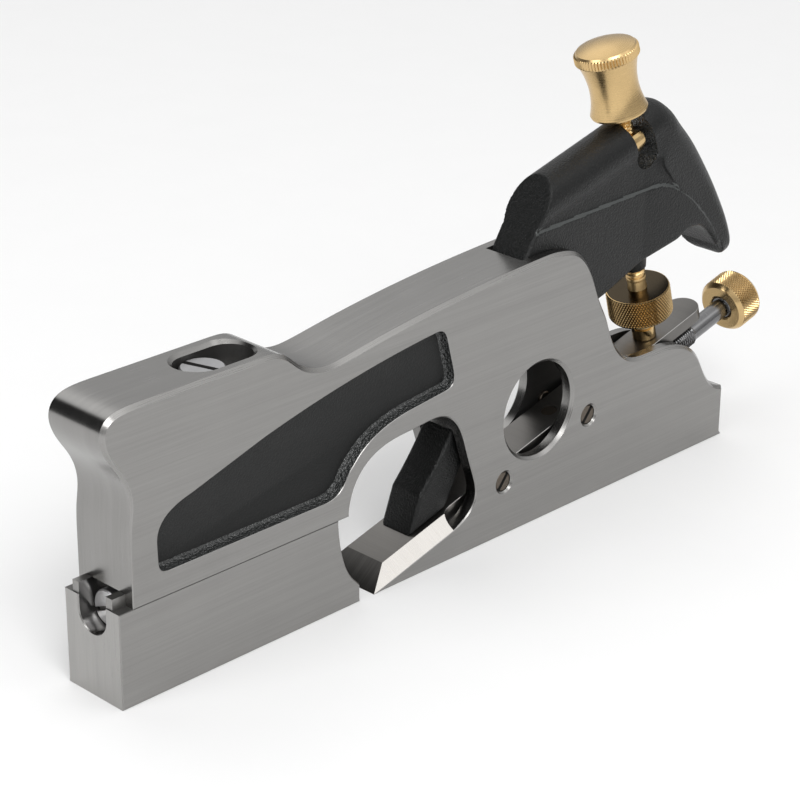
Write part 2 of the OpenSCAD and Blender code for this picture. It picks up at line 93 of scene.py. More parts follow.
class Slot(Enum):
    """The record's material slots."""

    IRON = "ground_iron"
    BLADE = "blade_steel"
    PAINT = "black_paint"
    BRASS = "brass"
    STEEL = "steel_screw"


class Side(Enum):
    """The plane's two sides, as signs of y."""

    NEAR = -1
    FAR = 1


# Outlines


def bend(p: Point, q: Point, r: Point, steps: int = 14) -> list[Point]:
    """Draws a quadratic curve.

    Args:
        p: where it starts.
        q: the point that it is pulled towards.
        r: where it ends.
        steps: number of straight steps.

    Returns:
        The curve's points, both ends included.
    """
    curve = []
    for i in range(steps + 1):
        t = i / steps
        a, b, c = (1 - t) ** 2, 2 * t * (1 - t), t * t
        curve.append((a * p[0] + b * q[0] + c * r[0], a * p[1] + b * q[1] + c * r[1]))
    return curve


def arc(centre: Point, radius: float, start: float, end: float, steps: int = 10) -> list[Point]:
    """Draws an arc about centre from angle start to angle end, in degrees.

    Returns:
        The arc's points, both ends included.
    """
    turns = (math.radians(start + (end - start) * i / steps) for i in range(steps + 1))
    return [(centre[0] + radius * math.cos(t), centre[1] + radius * math.sin(t)) for t in turns]


def area(outline: Sequence[Point]) -> float:
    """Signed area of a closed outline, positive where it runs anticlockwise."""
    return 0.5 * sum(a[0] * b[1] - b[0] * a[1] for a, b in zip(outline, list(outline[1:]) + [outline[0]]))


def fair(outline: Sequence[Point], step: float = 0.9, rounds: int = 10, corner: float = 26.0) -> list[Point]:
    """Evens out a closed outline and smooths it between its corners.

    Args:
        outline: the drawn points.
        step: distance between the new points, in millimetres.
        rounds: how often the stretches between corners are relaxed.
        corner: a turn of more than this many degrees is kept as a corner.

    Returns:
        The new outline, anticlockwise.
    """
    points = [Vector(p) for p in (outline if area(outline) > 0 else list(outline)[::-1])]
    points = [p for i, p in enumerate(points) if (p - points[i - 1]).length > 1e-4]
    count = len(points)
    turns = []
    for i, p in enumerate(points):
        into, out = p - points[i - 1], points[(i + 1) % count] - p
        turns.append(abs(math.degrees(into.angle_signed(out))))
    corners = [i for i, turn in enumerate(turns) if turn > corner] or [0]
    fresh: list[Vector] = []
    for start, end in zip(corners, corners[1:] + [corners[0] + count]):
        stretch = [points[i % count] for i in range(start, end + 1)]
        fresh += relax(spaced(stretch, step), rounds)[:-1]
    return [(p.x, p.y) for p in fresh]


def spaced(stretch: Sequence[Vector], step: float) -> list[Vector]:
    """Spaces points evenly along an open line, both ends kept."""
    lengths = [0.0]
    for a, b in zip(stretch, stretch[1:]):
        lengths.append(lengths[-1] + (b - a).length)
    parts = max(1, round(lengths[-1] / step))
    fresh, seat = [], 0
    for i in range(parts + 1):
        goal = lengths[-1] * i / parts
        while seat < len(lengths) - 2 and lengths[seat + 1] < goal:
            seat += 1
        span = lengths[seat + 1] - lengths[seat]
        fresh.append(stretch[seat].lerp(stretch[seat + 1], min(1.0, (goal - lengths[seat]) / span)))
    return fresh


def relax(line: list[Vector], rounds: int) -> list[Vector]:
    """Smooths an open line with its ends held."""
    for _ in range(rounds):
        inner = [p * 0.5 + (line[i] + line[i + 2]) * 0.25 for i, p in enumerate(line[1:-1])]
        line = [line[0], *inner, line[-1]]
    return line


def inset(outline: Sequence[Point], by: Callable[[float, float], float]) -> list[Point]:
    """Moves an anticlockwise outline inwards, by a distance that may change along it.

    Args:
        outline: the closed outline.
        by: gives the distance at a point. A negative one moves outwards.

    Returns:
        As many points as the outline has.
    """
    moved = []
    count = len(outline)
    for i, (x, z) in enumerate(outline):
        before = Vector((x - outline[i - 1][0], z - outline[i - 1][1])).normalized()
        after = Vector((outline[(i + 1) % count][0] - x, outline[(i + 1) % count][1] - z)).normalized()
        normal = Vector((-before.y - after.y, before.x + after.x))
        if normal.length < 1e-6:
            normal = Vector((-before.y, before.x))
        normal.normalize()
        mitre = max(0.4, normal.dot(Vector((-before.y, before.x))))
        moved.append((x + normal.x * by(x, z) / mitre, z + normal.y * by(x, z) / mitre))
    return moved


# Solids


class Solid:
    """A closed mesh under construction, in millimetres."""

    def __init__(self, name: str, mesh: bpy.types.Mesh) -> None:
        """Wraps mesh in an object of that name."""
        self.item = bpy.data.objects.new(name, mesh)
        bpy.context.scene.collection.objects.link(self.item)

    @classmethod
    def from_bmesh(cls, name: str, shape: bmesh.types.BMesh) -> Solid:
        """Makes a solid of a bmesh, whose normals are turned outwards first."""
        bmesh.ops.remove_doubles(shape, verts=shape.verts, dist=1e-4)
        bmesh.ops.recalc_face_normals(shape, faces=shape.faces)
        mesh = bpy.data.meshes.new(name)
        shape.to_mesh(mesh)
        shape.free()
        return cls(name, mesh)

    @classmethod
    def loft(cls, name: str, rings: Sequence[Ring]) -> Solid:
        """Skins closed rings of equal count and caps the first and the last."""
        shape = bmesh.new()
        rows = [[shape.verts.new(p) for p in ring] for ring in rings]
        for low, high in zip(rows, rows[1:]):
            for i in range(len(low)):
                j = (i + 1) % len(low)
                shape.faces.new((low[i], low[j], high[j], high[i]))
        shape.faces.new(rows[0][::-1])
        shape.faces.new(rows[-1])
        return cls.from_bmesh(name, shape)

    @classmethod
    def plate(
        cls, name: str, outline: Sequence[Point], width: float, chamfer: Callable[[float, float], float]
    ) -> Solid:
        """Makes a plate across the plane with chamfered edges.

        Args:
            name: its name.
            outline: its side outline, [x, z], anticlockwise.
            width: its full width along y.
            chamfer: gives the chamfer's width at a point of the outline.

        Returns:
            The plate.
        """
        half = width / 2
        inner = inset(outline, chamfer)
        cuts = [chamfer(x, z) for x, z in outline]
        rings = []
        for side in (-half, half):
            rim = [Vector((x, side, z)) for x, z in inner]
            edge = [Vector((x, side - math.copysign(c, side), z)) for (x, z), c in zip(outline, cuts)]
            rings += [rim, edge] if side < 0 else [edge, rim]
        return cls.loft(name, rings)

    @classmethod
    def prism(cls, name: str, outline: Sequence[Point], low: float, high: float) -> Solid:
        """Extrudes a side outline from y = low to y = high."""
        return cls.loft(name, [[Vector((x, y, z)) for x, z in outline] for y in (low, high)])

    @classmethod
    def box(cls, name: str, low: Sequence[float], high: Sequence[float]) -> Solid:
        """Makes a box between two corners."""
        outline = [(low[0], low[2]), (high[0], low[2]), (high[0], high[2]), (low[0], high[2])]
        return cls.prism(name, outline, low[1], high[1])

    @classmethod
    def turned(
        cls, name: str, profile: Sequence[Point], place: Matrix | None = None, sides: int = 72
    ) -> Solid:
        """Turns a profile of [radius, height] points about z.

        Args:
            name: its name.
            profile: points from the bottom to the top. A radius of 0 closes the end.
            place: where the turned shape's frame lies, or None to leave it at the origin.
            sides: facets round it.

        Returns:
            The turned solid.
        """
        rings = []
        for radius, height in profile:
            turns = (2 * math.pi * i / sides for i in range(sides))
            size = max(radius, 1e-3)
            rings.append([Vector((size * math.cos(t), size * math.sin(t), height)) for t in turns])
        solid = cls.loft(name, rings)
        return solid.moved(place) if place else solid

    def moved(self, place: Matrix) -> Solid:
        """Moves the mesh by a matrix and returns the solid."""
        self.item.data.transform(place)
        if place.determinant() < 0:
            self.item.data.flip_normals()
        return self

    def with_modifier(self, kind: str, **settings: object) -> Solid:
        """Applies one modifier to the mesh.

        Args:
            kind: the modifier's type.
            settings: its properties, or a node tree's inputs, whose names start with Socket.

        Returns:
            This solid.
        """
        modifier = self.item.modifiers.new(kind.title(), kind)
        for name, value in settings.items():
            if name.startswith("Socket"):
                modifier[name] = value
            else:
                setattr(modifier, name, value)
        scene = bpy.context.evaluated_depsgraph_get()
        fresh = bpy.data.meshes.new_from_object(self.item.evaluated_get(scene))
        self.item.modifiers.clear()
        old = self.item.data
        self.item.data = fresh
        bpy.data.meshes.remove(old)
        return self

    def combined(self, other: Solid, operation: str) -> Solid:
        """Applies an exact boolean with another solid, which is used up."""
        self.with_modifier(
            "BOOLEAN", object=other.item, operation=operation, solver="EXACT", material_mode="TRANSFER"
        )
        other.discard()
        return self

    def cut(self, *tools: Solid) -> Solid:
        """Takes the tools away from this solid."""
        for tool in tools:
            self.combined(tool, "DIFFERENCE")
        return self

    def join(self, *others: Solid) -> Solid:
        """Fuses the others to this solid."""
        for other in others:
            self.combined(other, "UNION")
        return self

    def gather(self, *others: Solid) -> Solid:
        """Adds the others' surfaces as they are, for a remesh to fuse."""
        shape = bmesh.new()
        for solid in (self, *others):
            shape.from_mesh(solid.item.data)
        shape.to_mesh(self.item.data)
        shape.free()
        for other in others:
            other.discard()
        return self

    def discard(self) -> None:
        """Deletes the solid."""
        mesh = self.item.data
        bpy.data.objects.remove(self.item)
        bpy.data.meshes.remove(mesh)

    def dress(
        self, *finishes: bpy.types.Material, pick: Callable[[Vector, Vector], int] | None = None
    ) -> Solid:
        """Gives the solid its materials. Without a pick, a solid that has some already keeps them.

        Args:
            finishes: the materials, the main one first.
            pick: gives a face's material from its middle and normal, or None to use the first.

        Returns:
            This solid.
        """
        mesh = self.item.data
        kept = [m for m in mesh.materials if m is not None]
        if pick is None and kept:
            return self
        mesh.materials.clear()
        for finish in finishes:
            mesh.materials.append(finish)
        for face in mesh.polygons:
            face.material_index = pick(face.center, face.normal) if pick else 0
        return self


def plane_to_frame() -> Matrix:
    """Carries millimetres from the toe's front into metres from the sole's centre."""
    low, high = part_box("toe")[0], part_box("body")[1]
    sole = (high[0] - low[0]) / MM
    return Matrix.Scale(MM, 4) @ Matrix.Translation((-sole / 2, 0, 0))


def fit_piece(solid: Solid, body: str, slot: Slot, *nodes: str, flat: bool = False) -> bpy.types.Object:
    """Puts a finished solid in the frame and lets it ride.

    Args:
        solid: the solid, in millimetres.
        body: the body that it rides on.
        slot: the record's material slot; not used.
        nodes: the nodes that it stands for.
        flat: whether its faces are left flat, as on a knurl.

    Returns:
        The piece.
    """
    item = solid.item
    item.data.transform(plane_to_frame())
    if flat:
        item.data.shade_flat()
    else:
        item.data.shade_smooth()
        item.data.set_sharp_from_angle(angle=math.radians(SMOOTH_DEGREES))
    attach(item, body)
    if nodes:
        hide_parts(*nodes)
    LOG.info("%s: %d faces on %s", item.name, len(item.data.polygons), body)
    return item


# Places


@dataclass(frozen=True)
class Layout:
    """The plane's main sizes and places, in millimetres and degrees."""

    sole_len: float = 200.0
    body_w: float = 17.86
    channel_w: float = 11.56
    bun_h: float = 67.2
    heel_h: float = 13.5
    toe_h: float = 22.35
    toe_len: float = 68.6
    tongue_w: float = 12.9
    screw_z: float = 19.3
    lock_x: float = 31.6
    set_x: Point = (116.2, 146.2)
    set_rise: float = 2.2
    edge_x: float = 73.0
    bed_angle: float = 15.0
    blade_t: float = 3.175
    blade_len: float = 128.7
    seat: float = 0.01
    pin_s: float = 72.0
    pivot_s: float = 96.0
    clamp_s: float = 109.0
    rod_drop: float = 5.9
    cap_slope: float = 57.8
    barrel_x: float = 158.2
    barrel_z: float = 83.05
    barrel_r: float = 6.05
    stud_x: float = 166.4
    palm_lean: float = 5.5
    rib: Point = (113.2, 49.9)
    rib_r: float = 3.0

    def bed_z(self, x: float) -> float:
        """Height of the bed at x."""
        return (x - self.edge_x) * math.tan(math.radians(self.bed_angle))

    def on_bed(self, s: float, h: float = 0.0) -> Point:
        """The point s along the bed from the cutting edge and h above it, square to it."""
        c, d = math.cos(math.radians(self.bed_angle)), math.sin(math.radians(self.bed_angle))
        return self.edge_x + s * c - h * d, s * d + h * c

    def on_barrel(self, x: float) -> Point:
        """The point of the barrel's axis at x."""
        return x, self.barrel_z + (x - self.barrel_x) * math.tan(math.radians(self.bed_angle))

    def bed_frame(self, s: float = 0.0, h: float = 0.0) -> Matrix:
        """A frame on the bed: x along it towards the heel, z square to it."""
        x, z = self.on_bed(s, h)
        return Matrix.Translation((x, 0, z)) @ Matrix.Rotation(math.radians(-self.bed_angle), 4, "Y")

    def rod_frame(self, s: float) -> Matrix:
        """A frame on the adjuster rod's axis: z along the rod towards the heel."""
        return self.bed_frame(s, -self.rod_drop) @ Matrix.Rotation(math.pi / 2, 4, "Y")

    def knob_frame(self, lean: float = 0.0) -> Matrix:
        """A frame where the palm knob swings: z square to the barrel, leaned to the far side."""
        x, z = self.on_barrel(self.stud_x)
        tilt = Matrix.Rotation(math.radians(-self.bed_angle), 4, "Y")
        return Matrix.Translation((x, 0, z)) @ tilt @ Matrix.Rotation(math.radians(-lean), 4, "X")


LAYOUT = Layout()


def bore(name: str, place: Matrix, radius: float, length: float, flare: float = 0.0) -> Solid:
    """A round cutter that starts at the place's origin, in its z direction.

    Args:
        name: its name.
        place: frame of its open end.
        radius: its radius.
        length: its depth.
        flare: width of the chamfer round its open end.

    Returns:
        The cutter, which stands 1 mm proud of its open end.
    """
    mouth = radius + flare
    profile = [(mouth + (1.0 if flare else 0.0), -1.0), (radius, flare), (radius, length)]
    return Solid.turned(name, profile, place, sides=64)


def across(x: float, z: float, y: float, side: Side) -> Matrix:
    """A frame at a point of a side face, with z pointing into the plane."""
    return Matrix.Translation((x, y, z)) @ Matrix.Rotation(side.value * math.pi / 2, 4, "X")


# Node trees


class Value:
    """A socket of a node tree that Python's operators can work on."""

    def __init__(self, graph: Graph, socket: bpy.types.NodeSocket) -> None:
        """Wraps a socket of a graph."""
        self.graph = graph
        self.socket = socket

    def math(self, operation: str, *others: Value | float, flip: bool = False) -> Value:
        """Adds a Math node.

        Args:
            operation: the node's operation.
            others: its further inputs.
            flip: whether this value comes last.

        Returns:
            The node's value.
        """
        terms = [*others, self] if flip else [self, *others]
        links = dict(enumerate(terms))
        return self.graph.node("ShaderNodeMath", {"operation": operation}, links)

    def __add__(self, other: Value | float) -> Value:
        """Sum."""
        return self.math("ADD", other)

    def __sub__(self, other: Value | float) -> Value:
        """Difference."""
        return self.math("SUBTRACT", other)

    def __mul__(self, other: Value | float) -> Value:
        """Product."""
        return self.math("MULTIPLY", other)

    def __truediv__(self, other: Value | float) -> Value:
        """Quotient."""
        return self.math("DIVIDE", other)

    def __radd__(self, other: float) -> Value:
        """Sum with a number first."""
        return self.math("ADD", other)

    def __rsub__(self, other: float) -> Value:
        """Difference from a number."""
        return self.math("SUBTRACT", other, flip=True)

    def __rmul__(self, other: float) -> Value:
        """Product with a number first."""
        return self.math("MULTIPLY", other)

    def clamped(self) -> Value:
        """The value held between 0 and 1."""
        return self.math("MINIMUM", 1.0).math("MAXIMUM", 0.0)

    def ridge(self) -> Value:
        """A wave of straight flanks with period 1, from 0 in its valleys to 1 on its crests."""
        return 1.0 - (self.math("FRACT") - 0.5).math("ABSOLUTE") * 2.0


class Graph:
    """A node tree under construction."""

    def __init__(self, tree: bpy.types.NodeTree) -> None:
        """Wraps a node tree."""
        self.tree = tree

    def feed(self, socket: bpy.types.NodeSocket, value: object) -> None:
        """Links a Value to a socket, or sets the socket's own value."""
        if isinstance(value, Value):
            self.tree.links.new(value.socket, socket)
        else:
            socket.default_value = value

    def node(
        self, kind: str, settings: dict | None = None, links: dict | None = None, output: str | int = 0
    ) -> Value:
        """Adds a node.

        Args:
            kind: its type.
            settings: its properties, and stops for a ramp: pairs of position and grey or colour.
            links: values or links of its inputs, by name or number.
            output: the output wanted, by name or number.

        Returns:
            That output.
        """
        item = self.tree.nodes.new(kind)
        for name, value in (settings or {}).items():
            if name == "stops":
                self.set_stops(item.color_ramp, value)
            else:
                setattr(item, name, value)
        for key, value in (links or {}).items():
            self.feed(item.inputs[key], value)
        return Value(self, item.outputs[output]) if item.outputs else Value(self, item.inputs[0])

    @staticmethod
    def set_stops(ramp: bpy.types.ColorRamp, stops: Sequence[tuple[float, tuple[float, ...]]]) -> None:
        """Sets a colour ramp's stops."""
        while len(ramp.elements) < len(stops):
            ramp.elements.new(1.0)
        for element, (position, colour) in zip(ramp.elements, stops):
            element.position = position
            element.color = (*colour, 1.0)

    def mix(self, by: Value, low: object, high: object) -> Value:
        """Mixes two colours, each a value or red, green, blue and alpha."""
        links = {"Factor": by, MIX_LOW: low, MIX_HIGH: high}
        return self.node("ShaderNodeMix", {"data_type": "RGBA"}, links, output=MIX_COLOUR)

    def parts(self, vector: Value) -> tuple[Value, Value, Value]:
        """Splits a vector into its x, y and z."""
        first = self.node("ShaderNodeSeparateXYZ", links={"Vector": vector})
        outputs = first.socket.node.outputs
        return tuple(Value(self, outputs[i]) for i in range(3))

    def vector(self, x: Value | float, y: Value | float, z: Value | float) -> Value:
        """Joins x, y and z."""
        return self.node("ShaderNodeCombineXYZ", links={0: x, 1: y, 2: z})


class Paint(Graph):
    """A material's node tree, with one Principled shader."""

    def __init__(self, name: str) -> None:
        """Makes an empty material of that name."""
        self.material = bpy.data.materials.new(name)
        self.material.use_nodes = True
        super().__init__(self.material.node_tree)
        self.tree.nodes.clear()
        self.shader = self.tree.nodes.new("ShaderNodeBsdfPrincipled")
        self.node("ShaderNodeOutputMaterial", links={"Surface": Value(self, self.shader.outputs[0])})

    def where(self, place: Matrix | None = None) -> Value:
        """Object coordinates in metres, turned into the frame of place where one is given."""
        here = self.node("ShaderNodeTexCoord", output="Object")
        if place is None:
            return here
        frame = plane_to_frame() @ place
        links = {
            "Vector": here,
            "Location": frame.to_translation(),
            "Rotation": frame.to_quaternion().to_euler(),
        }
        return self.node("ShaderNodeMapping", {"vector_type": "TEXTURE"}, links)

    def noise(self, where: Value, per_metre: tuple[float, float, float], detail: float = 2.0) -> Value:
        """Noise whose grain runs per_metre times in a metre along each axis."""
        scaled = self.node("ShaderNodeVectorMath", {"operation": "MULTIPLY"}, {0: where, 1: per_metre})
        links = {"Vector": scaled, "Scale": 1.0, "Detail": detail, "Roughness": 0.6}
        return self.node("ShaderNodeTexNoise", links=links)

    def tint(self, dark: tuple[float, float, float], light: tuple[float, float, float], by: Value) -> Value:
        """Mixes two colours by a value."""
        return self.mix(by, (*dark, 1.0), (*light, 1.0))

    def finish(
        self,
        colour: Value,
        roughness: Value | float,
        height: Value,
        depth: float,
        metallic: float = 1.0,
        specular: float = 0.5,
    ) -> bpy.types.Material:
        """Feeds the shader.

        Args:
            colour: the base colour.
            roughness: the roughness.
            height: the relief, from 0 to 1.
            depth: the relief's depth in metres.
            metallic: 1 for metal.
            specular: strength of the reflection where it is not metal.

        Returns:
            The material.
        """
        bump = self.node("ShaderNodeBump", links={"Strength": 1.0, "Distance": depth, "Height": height})
        feeds = {"Base Color": colour, "Roughness": roughness, "Normal": bump, "Metallic": metallic}
        for name, value in feeds.items():
            self.feed(self.shader.inputs[name], value)
        self.shader.inputs["Specular IOR Level"].default_value = specular
        return self.material


def shade(colour: tuple[float, float, float], by: float) -> tuple[float, float, float]:
    """A colour times a number."""
    return tuple(c * by for c in colour)


@dataclass(frozen=True)
class GroundMetal:
    """Metal ground in one direction, with long soft scratches."""

    name: str
    tone: tuple[float, float, float]
    lines: tuple[float, float, float]
    roughness: float = 0.36
    contrast: float = 0.12
    depth: float = 3e-6
    place: Matrix | None = None

    def material(self) -> bpy.types.Material:
        """Builds the finish.

        Returns:
            The material.
        """
        paint = Paint(self.name)
        where = paint.where(self.place)
        fine = paint.noise(where, self.lines, detail=3.0)
        broad = paint.noise(where, shade(self.lines, 0.16), detail=1.0)
        blotch = paint.noise(where, (90.0, 90.0, 90.0), detail=2.0)
        light = (fine * 0.5 + broad * 0.3 + blotch * 0.2 - 0.5) * 2.2 + 0.5
        colour = paint.tint(shade(self.tone, 1 - self.contrast), shade(self.tone, 1 + self.contrast), light)
        rough = self.roughness + (fine - 0.5) * 0.16 + (blotch - 0.5) * 0.1
        return paint.finish(colour, rough, fine, self.depth)


@dataclass(frozen=True)
class TurnedMetal:
    """Metal turned on a lathe: fine rings about place's axis; where it is knurled, painted shade and dirt
    darken the grooves.
    """

    name: str
    tone: tuple[float, float, float]
    place: Matrix
    roughness: float = 0.26
    rings: float = 5200.0
    depth: float = 2.5e-6
    # roots and crests of a knurl, between which the colour is darkened as painted shade and dirt in the
    # grooves
    grooves: Point | None = None

    def material(self) -> bpy.types.Material:
        """Builds the finish.

        Returns:
            The material.
        """
        paint = Paint(self.name)
        where = paint.where(self.place)
        x, y, z = paint.parts(where)
        radius = (x * x + y * y).math("SQRT")
        along = (z + radius * 1.3) * self.rings
        grain = paint.node("ShaderNodeTexNoise", {"noise_dimensions": "1D"}, {"W": along, "Scale": 1.0})
        blotch = paint.noise(where, (260.0, 260.0, 260.0), detail=3.0)
        light = (grain * 0.45 + blotch * 0.55 - 0.5) * 2.0 + 0.5
        colour = paint.tint(shade(self.tone, 0.86), shade(self.tone, 1.12), light)
        # painted shade: the colour darkens towards the knurl's roots, standing in for shade and dirt in the
        # grooves
        if self.grooves:
            root, crest = self.grooves
            lift = ((radius / MM - root) / (crest - root)).clamped()
            colour = paint.mix(lift, (*shade(self.tone, 0.08), 1.0), colour)
        rough = self.roughness + (grain - 0.5) * 0.14 + (blotch - 0.5) * 0.12
        return paint.finish(colour, rough, grain, self.depth)


@dataclass(frozen=True)
class PebbledPaint:
    """Black baked paint with a fine pebbled skin."""

    name: str
    tone: tuple[float, float, float] = (0.0042, 0.0046, 0.0045)
    pebbles: float = 2700.0
    depth: float = 2.3e-4
    roughness: float = 0.33
    specular: float = 0.3

    def material(self) -> bpy.types.Material:
        """Builds the finish.

        Returns:
            The material.
        """
        paint = Paint(self.name)
        where = paint.where()
        size = (self.pebbles, self.pebbles, self.pebbles)
        bumps = paint.noise(where, size, detail=2.0)
        cells = paint.node(
            "ShaderNodeTexVoronoi", {"feature": "SMOOTH_F1"}, {"Vector": where, "Scale": self.pebbles * 0.8}
        )
        relief = bumps * 0.7 + (1.0 - cells) * 0.5
        worn = paint.noise(where, (140.0, 140.0, 140.0), detail=3.0)
        colour = paint.tint(shade(self.tone, 0.75), shade(self.tone, 1.5), worn * 0.6 + bumps * 0.4)
        rough = self.roughness + (worn - 0.5) * 0.16
        return paint.finish(colour, rough, relief, self.depth, metallic=0.0, specular=self.specular)


IRON_TONE = (0.29, 0.285, 0.277)
STEEL_TONE = (0.42, 0.42, 0.425)
# steel darkened and browned: painted shade and a painted brown reflection, for the sunk set screws and the
# parts inside
SHADED_STEEL_TONE = (0.13, 0.11, 0.09)
BLADE_TONE = (0.40, 0.385, 0.365)
BRASS_TONE = (0.62, 0.44, 0.215)


class Finishes:
    """The finishes that more than one piece shares."""

    def __init__(self) -> None:
        """Builds the shared materials."""
        along_x, round_profile = (45.0, 3200.0, 3200.0), (90.0, 4200.0, 90.0)
        self.side = GroundMetal("iron_side", IRON_TONE, along_x).material()
        self.profile = GroundMetal("iron_profile", IRON_TONE, round_profile, 0.23).material()
        self.chamfer = GroundMetal("iron_chamfer", shade(IRON_TONE, 1.05), round_profile, 0.28).material()
        # the toe's front face: the ground iron painted 1.3 times lighter, as painted light on that face
        self.front = GroundMetal("iron_front", shade(IRON_TONE, 1.3), round_profile, 0.3).material()
        # half the iron's tone on faces inside the plane, in its bores and in screw slots: painted shade
        self.inner = GroundMetal("iron_inner", shade(IRON_TONE, 0.5), along_x, 0.5).material()
        self.paint = PebbledPaint("paint_cap").material()
        # a ten times lighter, glossier copy of the cap's paint: a painted highlight along the cap's ledge
        self.paint_edge = PebbledPaint("paint_edge", shade(PebbledPaint.tone, 10.0), specular=0.5).material()
        self.recess = PebbledPaint("paint_recess", pebbles=2600.0, depth=1.2e-4, roughness=0.42).material()
        # a four times lighter, glossier copy of the paint for the recess walls and the stud slot: painted
        # highlight
        self.recess_wall = PebbledPaint(
            "paint_recess_wall", shade(PebbledPaint.tone, 4.0), 2000.0, 6e-4, 0.24, 0.9
        ).material()
        # the blade's top, bevel and relief are one steel at 0.42, 0.16 and 1.35 of its tone: painted
        # reflection, dark on the top and the bevel, light on the relief
        slanted = LAYOUT.bed_frame()
        self.blade_top = GroundMetal(
            "blade_top", shade(BLADE_TONE, 0.42), (3200.0, 70.0, 3200.0), 0.36, 0.14, place=slanted
        ).material()
        self.blade_bevel = GroundMetal(
            "blade_bevel", shade(BLADE_TONE, 0.16), (90.0, 3400.0, 90.0), 0.32, 0.4, 8e-6, slanted
        ).material()
        self.blade_relief = GroundMetal(
            "blade_relief", shade(BLADE_TONE, 1.35), (2600.0, 60.0, 60.0), 0.26, 0.04, place=slanted
        ).material()
        all_ways = (1500.0, 1500.0, 1500.0)
        # the darkened steel: painted shade and reflection
        self.dark_steel = GroundMetal("set_screw_steel", SHADED_STEEL_TONE, all_ways, 0.4).material()


# Trees that repeat a form round a turned piece


class FormTree(Graph):
    """A Geometry Nodes tree with named inputs, which ends in Realize Instances and Set Material."""

    def __init__(self, name: str) -> None:
        """Makes a tree with a geometry input and a geometry output."""
        super().__init__(bpy.data.node_groups.new(name, "GeometryNodeTree"))
        self.names: dict[str, str] = {}
        self.add_socket("Geometry", "NodeSocketGeometry")
        self.tree.interface.new_socket("Geometry", in_out="OUTPUT", socket_type="NodeSocketGeometry")
        self.entry = self.tree.nodes.new("NodeGroupInput")

    def add_socket(self, name: str, kind: str = "NodeSocketFloat") -> None:
        """Adds a named input."""
        socket = self.tree.interface.new_socket(name, in_out="INPUT", socket_type=kind)
        self.names[name] = socket.identifier

    def read(self, name: str) -> Value:
        """The value of a named input."""
        return Value(self, self.entry.outputs[name])

    def close(self, shape: Value) -> None:
        """Ends the tree: instances are realized, the material is set and the shape goes out."""
        real = self.node("GeometryNodeRealizeInstances", links={"Geometry": shape})
        links = {"Geometry": real, "Material": self.read("Material")}
        done = self.node("GeometryNodeSetMaterial", links=links)
        self.node("NodeGroupOutput", links={"Geometry": done})

    def apply(self, solid: Solid, **inputs: object) -> Solid:
        """Runs the tree on a solid.

        Args:
            solid: the solid whose mesh is the tree's geometry.
            inputs: the named inputs, with _ for a space.

        Returns:
            The solid with the result as a plain mesh.
        """
        named = {self.names[name.replace("_", " ")]: value for name, value in inputs.items()}
        return solid.with_modifier("NODES", node_group=self.tree, **named)


def diamond_tree() -> FormTree:
    """A knurl of crossing grooves: rows of four-sided points, each row half a step on.

    Returns:
        The tree, with the inputs Radius, Bottom, Row Step, Around, Rows, Depth and Material.
    """
    tree = FormTree("diamond_knurl")
    for name in ("Radius", "Bottom", "Row Step", "Depth"):
        tree.add_socket(name)
    tree.add_socket("Around", "NodeSocketInt")
    tree.add_socket("Rows", "NodeSocketInt")
    tree.add_socket("Material", "NodeSocketMaterial")
    around, radius = tree.read("Around"), tree.read("Radius")
    points = tree.node("GeometryNodePoints", links={"Count": around * tree.read("Rows")})
    index = tree.node("GeometryNodeInputIndex")
    row = (index / around + 1e-4).math("FLOOR")
    column = index - row * around
    angle = (column + row.math("MODULO", 2.0) * 0.5) * (2 * math.pi) / around
    across_x, across_y = angle.math("COSINE"), angle.math("SINE")
    height = tree.read("Bottom") + (row + 1.0) * tree.read("Row Step")
    spot = tree.vector(across_x * radius, across_y * radius, height)
    placed = tree.node("GeometryNodeSetPosition", links={"Geometry": points, "Position": spot})
    point = tree.node(
        "GeometryNodeMeshCone", {"fill_type": "NGON"}, {"Vertices": 4, "Radius Bottom": 1.0, "Depth": 1.0}
    )
    turn = tree.node(
        "FunctionNodeAxesToRotation",
        {"primary_axis": "Z", "secondary_axis": "X"},
        {0: tree.vector(across_x, across_y, 0.0), 1: (0.0, 0.0, 1.0)},
    )
    half_step = radius * math.pi / around
    size = tree.vector(tree.read("Row Step"), half_step, tree.read("Depth"))
    teeth = tree.node(
        "GeometryNodeInstanceOnPoints",
        links={"Points": placed, "Instance": point, "Rotation": turn, "Scale": size},
    )
    both = tree.node("GeometryNodeJoinGeometry", links={"Geometry": tree.read("Geometry")})
    tree.tree.links.new(teeth.socket, both.socket.node.inputs["Geometry"])
    tree.close(both)
    return tree


def flute_tree() -> FormTree:
    """A knurl of straight grooves: the surface between two heights is drawn in, groove by groove.

    Returns:
        The tree, with the inputs Low, High, Around, Depth and Material.
    """
    tree = FormTree("straight_knurl")
    for name in ("Low", "High", "Around", "Depth"):
        tree.add_socket(name)
    tree.add_socket("Material", "NodeSocketMaterial")
    spot = tree.node("GeometryNodeInputPosition")
    x, y, z = tree.parts(spot)
    angle = y.math("ARCTAN2", x)
    groove = 1.0 - (angle * tree.read("Around") / (2 * math.pi)).ridge()
    inside = ((z - tree.read("Low")) * 6.0).clamped() * ((tree.read("High") - z) * 6.0).clamped()
    pull = groove * inside * tree.read("Depth") * -1.0
    offset = tree.vector(angle.math("COSINE") * pull, angle.math("SINE") * pull, 0.0)
    moved = tree.node("GeometryNodeSetPosition", links={"Geometry": tree.read("Geometry"), "Offset": offset})
    tree.close(moved)
    return tree


